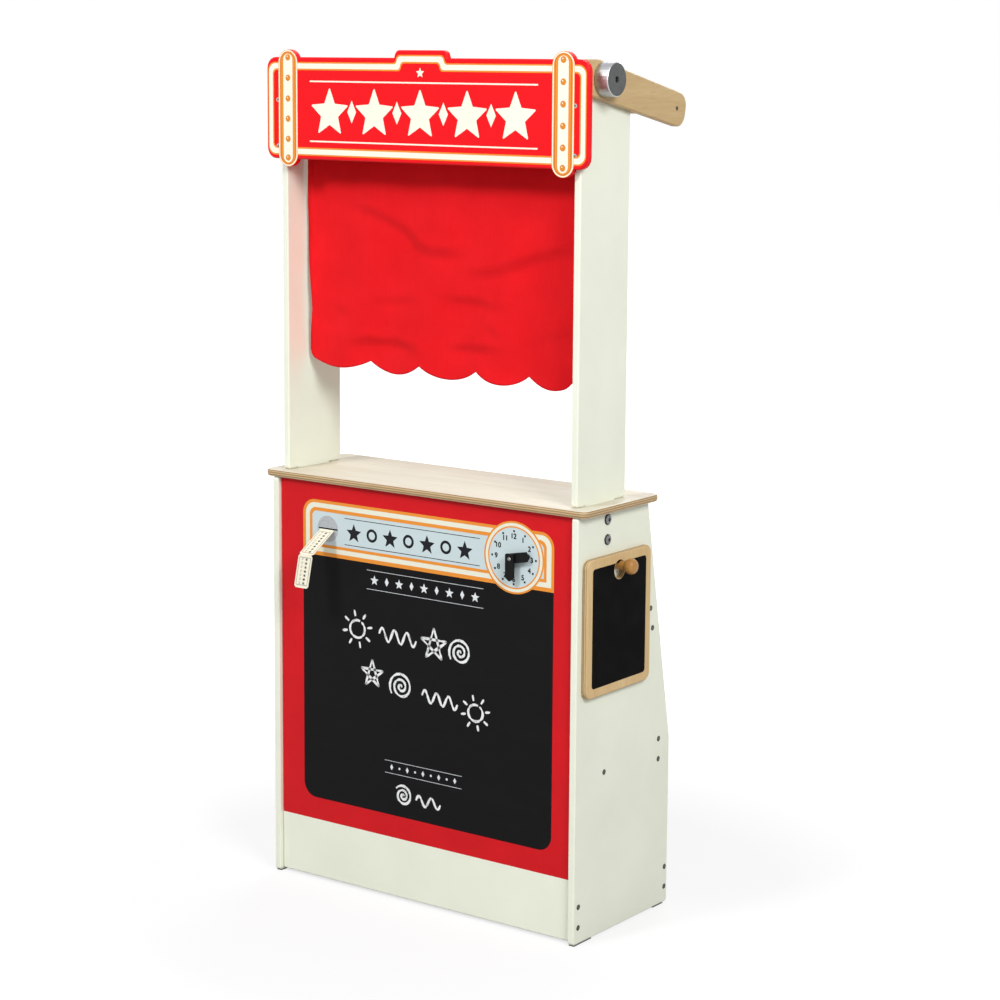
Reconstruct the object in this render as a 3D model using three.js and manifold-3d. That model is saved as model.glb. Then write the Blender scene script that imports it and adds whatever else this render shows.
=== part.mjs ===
// A puppet theatre stand for children. A small open-backed cabinet carries a counter, and above it a stage
// with a sign board, a curtain and two arms with a cross rail. On the cabinet are a play clock, a ticket
// slot and a slate that hangs on a peg.
// Millimetres, X to the right, Y to the back, Z up. While it is built, Y is 0 at the front panel's face and
// Z is 0 under the glides. The last lines move the origin to the middle of its footprint.
import * as THREE from 'three';
import { mergeVertices } from 'three/addons/utils/BufferGeometryUtils.js';
import Module from 'manifold-3d';

const wasm = await Module();
wasm.setup();

// Fits
const seat_gap = 0.2;
const running_gap = 0.3;
const overrun = 3;

// Roundness, as counts of flat steps
const corner_steps = 5;
const screw_sides = 8;
const bolt_sides = 12;
const knob_sides = 32;
const dowel_sides = 16;

// Boards
const board = 10;
const edge_round = 1.5;
const edge_steps = 1;
const corner_round = 4;

// Cabinet. The depths are taken from the front panel's face, which sits back between the side panels.
const cabinet_width = 514;
const cabinet_depth = 219;
const panel_recess = 6;
const panel_height = 565;
const top_depth = 158;
const slant_start = 232.5;
const kink_round = 25;
const glide_height = 1.5;
const glide_width = 8;
const front_glide = 40;
const front_glide_inset = 3;
const rear_glide = 24;
const rear_glide_inset = 9;
const front_panel_lift = 2.5;

// Shelves and the rails behind them. A drop is a distance below the top of what carries the piece.
const upper_shelf_drop = 160;
const middle_shelf_mid = 220;
const bottom_shelf_mid = 37.5;
const rail_height = 55;
const upper_rail_drop = 160.2;
const middle_rail_mid = 222;
const kick_rail_mid = 37.5;
const upper_rail_inset = 12;
const middle_rail_inset = 22;
const kick_rail_inset = 2;

// Counter
const counter_overhang = 13;
const counter_front = 8;
const counter_depth = 174;
const counter_corner = 10;
const counter_edge = 3;
const counter_edge_steps = 2;

// Uprights
const upright_front = 6;
const upright_depth = 111;
const upright_rise = 544.3;
const upright_corner = 12;
const tongue_front = 26;
const tongue_depth = 67;
const tongue_length = 65;
const slot_relief = 2.5;

// Cap bolts that hold the tongues to the side panels
const bolt_y = 61;
const bolt_drops = [10.5, 36.8];
const bolt_head = 14.3;
const bolt_head_height = 2.8;
const bolt_shank = 6;
const bolt_socket = 5;
const bolt_socket_depth = 1.6;

// Countersunk screws
const screw_head = 7.5;
const screw_sink = 3;
const screw_shank = 3.5;
const screw_length = 34;
const screw_pair = 28;
const shelf_screw_y = 61;

// Sign board
const sign_overhang = 7;
const sign_height = 136;
const sign_above_upright = 20.5;
const sign_corner = 15;
const sign_crest_width = 88;
const sign_crest_rise = 10;
const sign_crest_corner = 8;
const sign_crest_slope = 3;
const pilaster_inset = 31;
const pilaster_width = 34;
const pilaster_rise = 10;
const pilaster_drop = 10.5;
const sign_screw_head = 6;
const sign_screw_sink = 2.4;
const sign_screw_shank = 3;
const sign_screw_length = 28;
const sign_screw_drops = [57, 119];
const sign_screw_shift = 2.2;

// Arms, their knobs and the rail between them
const arm_tilt = THREE.MathUtils.degToRad(12.5);
const knob_y = 38.5;
const knob_drop = 4;
const arm_reach = 176.9;
const arm_front_above = 22.6;
const arm_front_below = 26;
const arm_rear_above = 21.8;
const arm_rear_below = 22.4;
const arm_rear_end = 22;
const arm_corner = 17;
const knob_diameter = 43;
const knob_length = 20.3;
const knob_bevel = 1;
const knob_dimple = 8;
const knob_dimple_depth = 3;
const stud_diameter = 8;
const stud_depth = 7;
const rail_diameter = 16;
const rail_screw_head = 5.5;
const rail_screw_sink = 2;
const rail_screw_shank = 3.2;
const rail_screw_length = 36;

// Curtain and its rod
const rod_diameter = 12;
const rod_y = 45;
const rod_drop = 37;
const rod_socket = 6;
const curtain_clearance = 4.5;
const curtain_thickness = 1.6;
const curtain_length = 365;
const sleeve_play = 0.7;
const scallop_count = 5;
const scallop_depth = 15;
const scallop_steps = 8;
const sleeve_sides = 8;
const fold_depth = 5;
const fold_pitch = 118;
const fold_slant_share = 0.6;
const curtain_rows = 6;

// Clock
const clock_inset = 94;
const clock_drop = 64.2;
const spacer_diameter = 11;
const spacer_height = 3.5;
const hand_thickness = 3.2;
const hand_width = 13;
const hand_point = 5;
const hand_corner = 2;
const hour_hand_length = 29.5;
const minute_hand_length = 30;
const hour_hand_turn = THREE.MathUtils.degToRad(11);
const minute_hand_turn = THREE.MathUtils.degToRad(-90);
const pin_shank = 3.5;
const pin_head = 6;
const pin_head_height = 1.6;

// Ticket slot, the box behind it and the strip of tickets
const ticket_inset = 84;
const ticket_slot_width = 32.5;
const ticket_slot_height = 3;
const ticket_slot_drop = 64;
const ticket_width = 24.5;
const ticket_thickness = 0.8;
const ticket_box_width = 75;
const ticket_box_depth = 40;
const ticket_box_height = 60;
const ticket_box_wall = 3;
const ticket_box_below = 33;
const ticket_window_below = 8;
const ticket_straight = 36;
const ticket_tail_drop = 20;
const ticket_tail_reach = 8;
const ticket_fold_drop = 27.9;
const ticket_fold_reach = 45.7;
const ticket_end_drop = 72;
const ticket_end_reach = 56;

// Slate and its peg
const slate_thickness = 8;
const slate_front = 4.5;
const slate_depth = 149.5;
const slate_drop = 56;
const slate_height = 182.5;
const slate_corner = 11;
const slate_hole = 24.5;
const slate_hole_y = 78.7;
const slate_hole_drop = 21.8;
const peg_stem = 12;
const peg_head = 21;
const peg_lean = THREE.MathUtils.degToRad(30);
const peg_reach = 18;
const peg_head_length = 13.5;
const peg_round = 4;
const peg_end_round = 7;

// Places that follow from the sizes above
const panel_bottom = glide_height;
const panel_top = panel_bottom + panel_height;
const side_outer = cabinet_width / 2;
const side_inner = side_outer - board;
const inner_end = side_inner - seat_gap;
const counter_width = cabinet_width + 2 * counter_overhang;
const sign_width = cabinet_width + 2 * sign_overhang;
const pilaster_x = side_outer - pilaster_inset;
const clock_x = inner_end - clock_inset;
const ticket_x = ticket_inset - inner_end;
const counter_bottom = panel_top + seat_gap;
const counter_top_z = counter_bottom + board;
const upright_outer = side_inner - seat_gap;
const upright_inner = upright_outer - board;
const curtain_width = 2 * (upright_inner - curtain_clearance);
const upright_bottom = counter_top_z + seat_gap;
const upright_top = counter_top_z + upright_rise;
const upper_shelf_mid = panel_top - upper_shelf_drop;
const upper_rail_mid = panel_top - upper_rail_drop;
const bolt_heights = bolt_drops.map((drop) => panel_top - drop);
const sign_top = upright_top + sign_above_upright;
const sign_bottom = sign_top - sign_height;
const sign_screw_heights = sign_screw_drops.map((drop) => sign_top - drop);
const knob_z = upright_top - knob_drop;
const rod_z = upright_top - rod_drop;
const clock_z = panel_top - clock_drop;
const ticket_slot_z = panel_top - ticket_slot_drop;
const slate_top = panel_top - slate_drop;
const slate_bottom = slate_top - slate_height;
const slate_hole_z = slate_top - slate_hole_drop;
const sign_back = upright_front - seat_gap;
const slant = Math.atan2(cabinet_depth - top_depth, panel_height - slant_start);
const kink_z = panel_bottom + slant_start;
const peg_lift = slate_hole / 2 - running_gap - peg_stem / 2;
const peg_y = slate_hole_y + peg_lift * Math.sin(peg_lean);
const peg_z = slate_hole_z + peg_lift * Math.cos(peg_lean);
const sign_front = board - sign_back;

// Solids

function solid(geometry) {
  const bare = geometry.clone();
  bare.deleteAttribute('normal');
  bare.deleteAttribute('uv');
  const merged = mergeVertices(bare);
  const vertProperties = new Float32Array(merged.attributes.position.array);
  const triVerts = new Uint32Array(merged.index.array);
  return new wasm.Manifold(new wasm.Mesh({ numProp: 3, vertProperties, triVerts }));
}

function geometryOf(manifold) {
  const { vertProperties, triVerts } = manifold.getMesh();
  const geometry = new THREE.BufferGeometry();
  geometry.setAttribute('position', new THREE.BufferAttribute(vertProperties, 3));
  geometry.setIndex(new THREE.BufferAttribute(triVerts, 1));
  const faceted = geometry.toNonIndexed();
  faceted.computeVertexNormals();
  return faceted;
}

function cut(geometry, cutters) {
  return geometryOf(cutters.reduce((left, cutter) => left.subtract(solid(cutter)), solid(geometry)));
}

// An outline through corner points, each given as [x, y, radius] and rounded by an arc of short steps.
function roundedOutline(corners) {
  const points = [];
  corners.forEach(([x, y, radius], i) => {
    const corner = new THREE.Vector2(x, y);
    if (radius === 0) {
      points.push(corner);
      return;
    }
    const [px, py] = corners.at(i - 1);
    const [nx, ny] = corners[(i + 1) % corners.length];
    const back = new THREE.Vector2(px, py).sub(corner).normalize();
    const ahead = new THREE.Vector2(nx, ny).sub(corner).normalize();
    const half = back.angleTo(ahead) / 2;
    const middle = back.clone().add(ahead).normalize();
    const centre = middle.multiplyScalar(radius / Math.sin(half)).add(corner);
    const start = back.multiplyScalar(radius / Math.tan(half)).add(corner).sub(centre);
    const end = ahead.multiplyScalar(radius / Math.tan(half)).add(corner).sub(centre);
    const turn = Math.atan2(start.cross(end), start.dot(end));
    for (let step = 0; step <= corner_steps; step += 1) {
      points.push(start.clone().rotateAround(new THREE.Vector2(), turn * step / corner_steps).add(centre));
    }
  });
  return new THREE.Shape(points);
}

function rectangle(x0, y0, x1, y1, radius = 0) {
  return roundedOutline([[x0, y0, radius], [x1, y0, radius], [x1, y1, radius], [x0, y1, radius]]);
}

// A board cut to an outline, with softly rounded edges, from z = low to z = low + thickness.
function boardSolid(outline, low, thickness = board, round = edge_round, steps = edge_steps) {
  return new THREE.ExtrudeGeometry(outline, {
    depth: thickness - 2 * round,
    bevelEnabled: round > 0,
    bevelThickness: round,
    bevelSize: round,
    bevelOffset: -round,
    bevelSegments: steps,
    curveSegments: corner_steps,
  }).translate(0, 0, low + round);
}

// A turned piece along +z, from [radius, z] points that start and end on the axis.
function turned(profile, sides) {
  const points = profile.map(([radius, z]) => new THREE.Vector2(radius, z));
  return new THREE.LatheGeometry(points, sides).rotateX(Math.PI / 2);
}

function rod(diameter, low, high, sides) {
  return turned([[0, low], [diameter / 2, low], [diameter / 2, high], [0, high]], sides);
}

// The cutter for a hole: wide enough that its flat sides clear the round piece inside it.
function hole(diameter, low, high, sides, gap = seat_gap) {
  const radius = (diameter / 2 + gap) / Math.cos(Math.PI / sides);
  return rod(2 * radius, low, high, sides);
}

// A countersunk screw with its head flush at z = 0 and its shank towards -z, and the hole that it sits in.
function screwSolid(head, sink, shank, length) {
  const tip = shank / 2;
  return turned([[0, -length], [tip, tip - length], [tip, -sink], [head / 2, 0], [0, 0]], screw_sides);
}

function screwHole(head, sink, shank, length) {
  const grow = 1 / Math.cos(Math.PI / screw_sides);
  const narrow = (shank / 2 + seat_gap) * grow;
  const wide = (head / 2 + seat_gap) * grow;
  const low = -length - seat_gap;
  const profile = [[0, low], [narrow, low], [narrow, -sink], [wide, 0], [wide, overrun], [0, overrun]];
  return turned(profile, screw_sides);
}

// Materials

function paint(color, roughness, metalness = 0) {
  return new THREE.MeshStandardMaterial({ color, roughness, metalness });
}

const finishes = {
  cream: () => paint(0xeeecdc, 0.5),
  red: () => paint(0xe2141b, 0.45),
  plywood: () => paint(0xe8d5b0, 0.55),
  beech: () => paint(0xd9a766, 0.5),
  cloth: () => paint(0xd8101a, 0.9),
  black: () => paint(0x1c1c1d, 0.5),
  dark_steel: () => paint(0x3a3c3f, 0.4, 0.8),
  chrome: () => paint(0xb9bcc0, 0.25, 1),
  slate: () => paint(0x191919, 0.7),
  paper: () => paint(0xf0ecd8, 0.8),
  rubber: () => paint(0x222222, 0.9),
};

// Groups that turn a flat outline to its place. In upright_plane, x is X, y is Z and z points to the front.
// In side_plane, x is Y, y is Z and z is X.

const stand = new THREE.Group();
const flat_plane = new THREE.Group();
const upright_plane = new THREE.Group();
const side_plane = new THREE.Group();
const across = new THREE.Vector3(1, 0, 0);
const deep = new THREE.Vector3(0, 1, 0);
const up = new THREE.Vector3(0, 0, 1);
const from_upright = new THREE.Matrix4().makeRotationX(Math.PI / 2);
const from_side = new THREE.Matrix4().makeBasis(deep, up, across);
upright_plane.quaternion.setFromRotationMatrix(from_upright);
side_plane.quaternion.setFromRotationMatrix(from_side);
stand.add(flat_plane, upright_plane, side_plane);

function add(plane, name, geometry, finish, place = [0, 0, 0]) {
  const mesh = new THREE.Mesh(geometryOf(solid(geometry)), finishes[finish]());
  mesh.name = name;
  mesh.position.set(...place);
  plane.add(mesh);
  return mesh;
}

const sides = [['left', -1], ['right', 1]];

// A turned piece or cutter at a place on a side, with its axis out of that side.
function outward(geometry, side) {
  return side < 0 ? geometry.clone().rotateY(Math.PI) : geometry.clone();
}

function onSide(geometry, side, y, z, x) {
  return outward(geometry, side).translate(y, z, side * x);
}

// Places of the rails behind the shelves

const upper_rail_y = cabinet_depth - Math.tan(slant) * (upper_rail_mid - kink_z)
  - (upper_rail_inset + board / 2) / Math.cos(slant);
const rails = [
  { name: 'upper_rail', y: upper_rail_y, z: upper_rail_mid, lean: slant },
  { name: 'middle_rail', y: cabinet_depth - middle_rail_inset - board / 2, z: middle_rail_mid, lean: 0 },
  { name: 'kick_rail', y: cabinet_depth - kick_rail_inset - board / 2, z: kick_rail_mid, lean: 0 },
];

// Two screws one above the other in each rail's end and in the front panel's edge, and one in a shelf's end
const side_screws = [...rails, { name: 'front_panel', y: board / 2, z: kick_rail_mid, lean: 0 }]
  .flatMap(({ name, y, z, lean }) => [['upper', 1], ['lower', -1]].map(([level, step]) => ({
    name: `${name}_screw_${level}`,
    y: y - step * Math.sin(lean) * screw_pair / 2,
    z: z + step * Math.cos(lean) * screw_pair / 2,
  })));
side_screws.push({ name: 'middle_shelf_screw', y: shelf_screw_y, z: middle_shelf_mid });

function sideScrewHoles(side) {
  const cutter = screwHole(screw_head, screw_sink, screw_shank, screw_length);
  return side_screws.map(({ y, z }) => onSide(cutter, side, y, z, side_outer));
}

function boltHoles(side) {
  const cutter = hole(bolt_shank, -2 * board - overrun, overrun, bolt_sides);
  return bolt_heights.map((z) => onSide(cutter, side, bolt_y, z, side_outer));
}

// Side panels

function sidePanel(side) {
  const outline = roundedOutline([
    [-panel_recess, panel_bottom, corner_round],
    [cabinet_depth, panel_bottom, corner_round],
    [cabinet_depth, kink_z, kink_round],
    [top_depth, panel_top, corner_round],
    [-panel_recess, panel_top, corner_round],
  ]);
  const low = side < 0 ? -side_outer : side_inner;
  const peg_hole = hole(peg_stem, -board / 2, overrun, dowel_sides);
  const peg_holes = side > 0 ? [onSide(peg_hole, side, peg_y, peg_z, side_outer)] : [];
  return cut(boardSolid(outline, low), [...sideScrewHoles(side), ...boltHoles(side), ...peg_holes]);
}

for (const [name, side] of sides) {
  add(side_plane, `side_panel_${name}`, sidePanel(side), 'cream');
}

// Front panel, with the ticket slot and the clock pin's hole

const front_outline = rectangle(-inner_end, panel_bottom + front_panel_lift, inner_end, panel_top);
const slot_cutter = new THREE.BoxGeometry(ticket_slot_width, ticket_slot_height, board + 2 * overrun)
  .translate(ticket_x, ticket_slot_z, -board / 2);
const pin_hole = hole(pin_shank, -board - overrun, overrun, dowel_sides).translate(clock_x, clock_z, 0);

// The ends of the front panel and the rails are bored for the side screws.
const to_upright = from_upright.clone().invert();
const both_side_holes = sides.flatMap(([, side]) => sideScrewHoles(side))
  .map((cutter) => cutter.applyMatrix4(from_side));
add(upright_plane, 'front_panel', cut(boardSolid(front_outline, -board), [
  slot_cutter,
  pin_hole,
  ...both_side_holes.map((cutter) => cutter.clone().applyMatrix4(to_upright)),
]), 'red');

// Rails and shelves

for (const { name, y, z, lean } of rails) {
  const outline = rectangle(-inner_end, -rail_height / 2, inner_end, rail_height / 2);
  const placed = new THREE.Matrix4().makeTranslation(0, y, z)
    .multiply(new THREE.Matrix4().makeRotationX(Math.PI / 2 + lean));
  const local_holes = both_side_holes.map((cutter) => cutter.clone().applyMatrix4(placed.clone().invert()));
  const rail = add(flat_plane, name, cut(boardSolid(outline, -board / 2), local_holes), 'cream');
  rail.position.set(0, y, z);
  rail.rotation.x = Math.PI / 2 + lean;
}

function shelfBack(rail, mid) {
  const top = mid + board / 2;
  return rail.y - Math.tan(rail.lean) * (top - rail.z) - board / 2 / Math.cos(rail.lean) - seat_gap;
}

const shelves = [['upper_shelf', upper_shelf_mid], ['middle_shelf', middle_shelf_mid],
  ['bottom_shelf', bottom_shelf_mid]];
shelves.forEach(([name, mid], i) => {
  const outline = rectangle(-inner_end, board + seat_gap, inner_end, shelfBack(rails[i], mid));
  const local_holes = both_side_holes.map((cutter) => cutter.clone().translate(0, 0, -mid));
  add(flat_plane, name, cut(boardSolid(outline, -board / 2), local_holes), 'cream', [0, 0, mid]);
});

// Counter, slotted for the uprights' tongues, with small round reliefs in the slots' corners

const tongue_back = tongue_front + tongue_depth;

function slotCutters(side) {
  const inner = upright_inner - seat_gap;
  const outer = upright_outer + seat_gap;
  const front = tongue_front - seat_gap;
  const back = tongue_back + seat_gap;
  const slot = new THREE.BoxGeometry(outer - inner, back - front, board + 2 * overrun)
    .translate(side * (inner + outer) / 2, (front + back) / 2, board / 2);
  const relief = rod(2 * slot_relief, -overrun, board + overrun, dowel_sides);
  const reliefs = [front, back].map((y) => relief.clone().translate(side * inner, y, 0));
  return [slot, ...reliefs];
}

const counter_outline = rectangle(
  -counter_width / 2, -counter_front, counter_width / 2, counter_depth - counter_front, counter_corner);
add(flat_plane, 'counter_top', cut(
  boardSolid(counter_outline, 0, board, counter_edge, counter_edge_steps),
  sides.flatMap(([, side]) => slotCutters(side)),
), 'plywood', [0, 0, counter_bottom]);

// Uprights

const rod_cutter = hole(rod_diameter, -rod_socket, overrun, dowel_sides);
const stud_cutter = hole(stud_diameter, -stud_depth - running_gap, overrun, dowel_sides, running_gap);

const sign_screw_x = upright_outer - board / 2 + sign_screw_shift;

function signScrewHole(side, z) {
  return screwHole(sign_screw_head, sign_screw_sink, sign_screw_shank, sign_screw_length)
    .translate(side * sign_screw_x, z, sign_front);
}

const upright_to_side = from_side.clone().invert().multiply(from_upright);

function upright(side) {
  const back = upright_front + upright_depth;
  const tongue_bottom = counter_top_z - tongue_length;
  const outline = roundedOutline([
    [tongue_front, tongue_bottom, corner_round],
    [tongue_back, tongue_bottom, corner_round],
    [tongue_back, upright_bottom, 0],
    [back, upright_bottom, corner_round],
    [back, upright_top, upright_corner],
    [upright_front, upright_top, corner_round],
    [upright_front, upright_bottom, corner_round],
    [tongue_front, upright_bottom, 0],
  ]);
  const low = side < 0 ? -upright_outer : upright_inner;
  const inward = onSide(rod_cutter, -side, rod_y, rod_z, -upright_inner);
  return cut(boardSolid(outline, low), [
    ...boltHoles(side),
    inward,
    onSide(stud_cutter, side, knob_y, knob_z, upright_outer),
    ...sign_screw_heights.map((z) => signScrewHole(side, z).applyMatrix4(upright_to_side)),
  ]);
}

for (const [name, side] of sides) {
  add(side_plane, `upright_${name}`, upright(side), 'cream');
}

// Sign board: a rounded plate with a crest in the middle and a round-ended pilaster near each end

function pilasterEnd(mid, level, end) {
  const reach = pilaster_width / 2;
  const centre = level + end * ((end > 0 ? pilaster_rise : pilaster_drop) - reach);
  const start = Math.asin((level - centre) * end / reach);
  const steps = 2 * corner_steps;
  return Array.from({ length: steps + 1 }, (_, step) => {
    const angle = start + (Math.PI - 2 * start) * step / steps;
    return [mid + end * reach * Math.cos(angle), centre + end * reach * Math.sin(angle), 0];
  });
}

function signOutline() {
  const half = sign_width / 2;
  const crest = sign_crest_width / 2;
  const crest_top = sign_top + sign_crest_rise;
  return roundedOutline([
    [-half, sign_bottom, sign_corner],
    ...pilasterEnd(-pilaster_x, sign_bottom, -1),
    ...pilasterEnd(pilaster_x, sign_bottom, -1),
    [half, sign_bottom, sign_corner],
    [half, sign_top, sign_corner],
    ...pilasterEnd(pilaster_x, sign_top, 1),
    [crest, sign_top, 0],
    [crest - sign_crest_slope, crest_top, sign_crest_corner],
    [sign_crest_slope - crest, crest_top, sign_crest_corner],
    [-crest, sign_top, 0],
    ...pilasterEnd(-pilaster_x, sign_top, 1),
    [-half, sign_top, sign_corner],
  ]);
}

const sign_holes = sides.flatMap(([, side]) => sign_screw_heights.map((z) => signScrewHole(side, z)));
add(upright_plane, 'sign_board', cut(boardSolid(signOutline(), -sign_back), sign_holes), 'red');

// Arms: boards that taper a little and slope down to the back. Their front ends stop behind the sign board.

function armPoint(along, above) {
  const u = new THREE.Vector2(along, above).rotateAround(new THREE.Vector2(), -arm_tilt);
  return [knob_y + u.x, knob_z + u.y];
}

const [rail_y, rail_z] = armPoint(arm_reach, 0);
const rail_screw = [rail_screw_head, rail_screw_sink, rail_screw_shank, rail_screw_length];
const rail_screw_cutter = screwHole(...rail_screw);

function arm(side) {
  const end = arm_reach + arm_rear_end;
  const outline = roundedOutline([
    [...armPoint(-knob_y - arm_corner, -arm_front_below), 0],
    [...armPoint(end, -arm_rear_below), arm_corner],
    [...armPoint(end, arm_rear_above), arm_corner],
    [...armPoint(-knob_y - arm_corner, arm_front_above), 0],
  ]);
  const low = side < 0 ? -side_outer : side_inner;
  const reach = 2 * cabinet_width;
  const block = new THREE.BoxGeometry(reach, reach, reach);
  const front_cutter = block.clone().translate(upright_front - reach / 2, knob_z, 0);
  const top_cutter = block.clone().translate(knob_y, sign_top + reach / 2, 0);
  return cut(boardSolid(outline, low), [
    front_cutter,
    top_cutter,
    onSide(hole(stud_diameter, -board - overrun, overrun, dowel_sides, running_gap), side,
      knob_y, knob_z, side_outer),
    onSide(rail_screw_cutter, side, rail_y, rail_z, side_outer),
  ]);
}

for (const [name, side] of sides) {
  add(side_plane, `arm_${name}`, arm(side), 'beech');
}

// The cross rail is a dowel between the arms, with a screw into each end.
const rail_ends = sides.map(([, side]) => onSide(rail_screw_cutter, side, 0, 0, side_outer));
const awning_rail = cut(rod(rail_diameter, -inner_end, inner_end, dowel_sides), rail_ends);
add(side_plane, 'awning_rail', awning_rail, 'beech', [rail_y, rail_z, 0]);

// Knobs: a turned head with a stud that goes through the arm into the upright
function knobSolid() {
  const radius = knob_diameter / 2;
  const stud = stud_diameter / 2;
  const tip = -board - stud_depth;
  const top = seat_gap + knob_length;
  const dimple = knob_dimple / 2;
  return turned([[0, tip], [stud, tip], [stud, seat_gap], [radius - knob_bevel, seat_gap],
    [radius, seat_gap + knob_bevel], [radius, top - knob_bevel], [radius - knob_bevel, top],
    [dimple, top], [dimple, top - knob_dimple_depth], [0, top - knob_dimple_depth],
  ], knob_sides);
}

for (const [name, side] of sides) {
  add(side_plane, `knob_${name}`, outward(knobSolid(), side), 'chrome', [knob_y, knob_z, side * side_outer]);
  add(side_plane, `awning_rail_screw_${name}`, outward(screwSolid(...rail_screw), side), 'dark_steel',
    [rail_y, rail_z, side * side_outer]);
}

// Fasteners on each side: cap bolts through the side panel into the tongue, and the countersunk screws

function capBolt() {
  const head = bolt_head / 2;
  const shank = bolt_shank / 2;
  const socket = bolt_socket / 2;
  const tip = -2 * board;
  const base = seat_gap;
  const top = base + bolt_head_height;
  return turned([[0, tip], [shank, tip], [shank, base], [head, base], [head, base + bolt_head_height / 3],
    [head * Math.cos(Math.PI / 6), base + bolt_head_height * 2 / 3], [head / 2, top],
    [socket, top], [socket, top - bolt_socket_depth], [0, top - bolt_socket_depth],
  ], bolt_sides);
}

for (const [name, side] of sides) {
  bolt_heights.forEach((z, i) => {
    const level = ['upper', 'lower'][i];
    add(side_plane, `upright_bolt_${name}_${level}`, outward(capBolt(), side), 'dark_steel',
      [bolt_y, z, side * side_outer]);
  });
  for (const screw of side_screws) {
    const geometry = screwSolid(screw_head, screw_sink, screw_shank, screw_length);
    add(side_plane, `${screw.name}_${name}`, outward(geometry, side), 'dark_steel',
      [screw.y, screw.z, side * side_outer]);
  }
  sign_screw_heights.forEach((z, i) => {
    const level = ['upper', 'lower'][i];
    const geometry = screwSolid(sign_screw_head, sign_screw_sink, sign_screw_shank, sign_screw_length);
    add(upright_plane, `sign_screw_${name}_${level}`, geometry, 'dark_steel',
      [side * sign_screw_x, z, sign_front]);
  });
}

// Glides under the side panels

const glide_places = [['front', front_glide_inset - panel_recess + front_glide / 2, front_glide],
  ['rear', cabinet_depth - rear_glide_inset - rear_glide / 2, rear_glide]];
for (const [name, side] of sides) {
  for (const [end, y, length] of glide_places) {
    const geometry = new THREE.BoxGeometry(glide_width, length, glide_height - seat_gap);
    const z = (glide_height - seat_gap) / 2;
    add(flat_plane, `glide_${end}_${name}`, geometry, 'rubber', [side * (side_outer - board / 2), y, z]);
  }
}

// Curtain rod, in blind holes of the uprights

const rod_end = upright_inner + rod_socket - seat_gap;
const curtain_rod = rod(rod_diameter, -rod_end, rod_end, dowel_sides);
add(side_plane, 'curtain_rod', curtain_rod, 'beech', [rod_y, rod_z, 0]);

// Curtain: cloth with a sleeve round the rod, soft folds and a scalloped hem. A section with a ring and a
// long tail runs along the rod, and then its points move to form the folds and the scallops.

function curtainSection() {
  const inner = (rod_diameter / 2 + sleeve_play) / Math.cos(Math.PI / sleeve_sides);
  const outer = inner + curtain_thickness;
  const half = curtain_thickness / 2;
  const meet = Math.asin(half / outer);
  const points = [];
  for (let side = 0; side <= sleeve_sides; side += 1) {
    const angle = -Math.PI / 2 + meet + (2 * Math.PI - 2 * meet) * side / sleeve_sides;
    points.push(new THREE.Vector2(outer * Math.cos(angle), outer * Math.sin(angle)));
  }
  for (const [edge, order] of [[-half, 1], [half, -1]]) {
    const rows = Array.from({ length: curtain_rows }, (_, row) => (row + 1) / curtain_rows);
    const drops = order > 0 ? rows : rows.reverse();
    drops.forEach((share) => {
      points.push(new THREE.Vector2(edge, -outer - (curtain_length - outer) * share));
    });
  }
  const section = new THREE.Shape(points);
  const bore = [];
  for (let side = 0; side < sleeve_sides; side += 1) {
    const angle = -Math.PI / 2 + Math.PI / sleeve_sides + 2 * Math.PI * side / sleeve_sides;
    bore.push(new THREE.Vector2(inner * Math.cos(angle), inner * Math.sin(angle)));
  }
  section.holes.push(new THREE.Path(bore));
  return { section, outer };
}

// How much shorter than its longest the cloth hangs at a place along the rod: each scallop is an arc.
function hemRise(along) {
  const half = curtain_width / scallop_count / 2;
  const radius = (half * half + scallop_depth * scallop_depth) / (2 * scallop_depth);
  const from_middle = Math.abs(((along + curtain_width / 2) % (2 * half)) - half);
  return radius - Math.sqrt(radius * radius - from_middle * from_middle);
}

function curtainSolid() {
  const { section, outer } = curtainSection();
  const geometry = new THREE.ExtrudeGeometry(section, {
    depth: curtain_width,
    steps: scallop_count * scallop_steps,
    bevelEnabled: false,
  }).translate(0, 0, -curtain_width / 2);
  const position = geometry.attributes.position;
  for (let i = 0; i < position.count; i += 1) {
    const y = position.getX(i);
    const z = position.getY(i);
    const along = position.getZ(i);
    const share = Math.max(0, (-z - outer) / (curtain_length - outer));
    const turn = 2 * Math.PI * (along / fold_pitch + fold_slant_share * share);
    position.setX(i, y + fold_depth * share * Math.sin(turn));
    position.setY(i, z + hemRise(along) * share);
  }
  return geometry;
}

add(side_plane, 'curtain', curtainSolid(), 'cloth', [rod_y, rod_z, 0]);

// Clock: a spacer, two hands and the pin that they turn on, which is riveted behind the front panel

const hour_low = seat_gap + spacer_height + running_gap;
const minute_low = hour_low + hand_thickness + running_gap;
const pin_low = minute_low + hand_thickness + running_gap;

function clockHand(length) {
  const reach = hand_width / 2;
  const outline = roundedOutline([
    [-reach, -reach, hand_corner],
    [length - hand_point, -reach, hand_corner],
    [length, 0, hand_corner],
    [length - hand_point, reach, hand_corner],
    [-reach, reach, hand_corner],
  ]);
  const bore = hole(pin_shank, -overrun, hand_thickness + overrun, screw_sides, running_gap);
  return cut(boardSolid(outline, 0, hand_thickness, 0), [bore]);
}

function clockPin() {
  const shank = pin_shank / 2;
  const head = pin_head / 2;
  const back = -board - seat_gap;
  return turned([[0, back - pin_head_height], [head, back - pin_head_height], [head, back], [shank, back],
    [shank, pin_low], [head, pin_low], [head / 2, pin_low + pin_head_height], [0, pin_low + pin_head_height],
  ], screw_sides);
}

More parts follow.
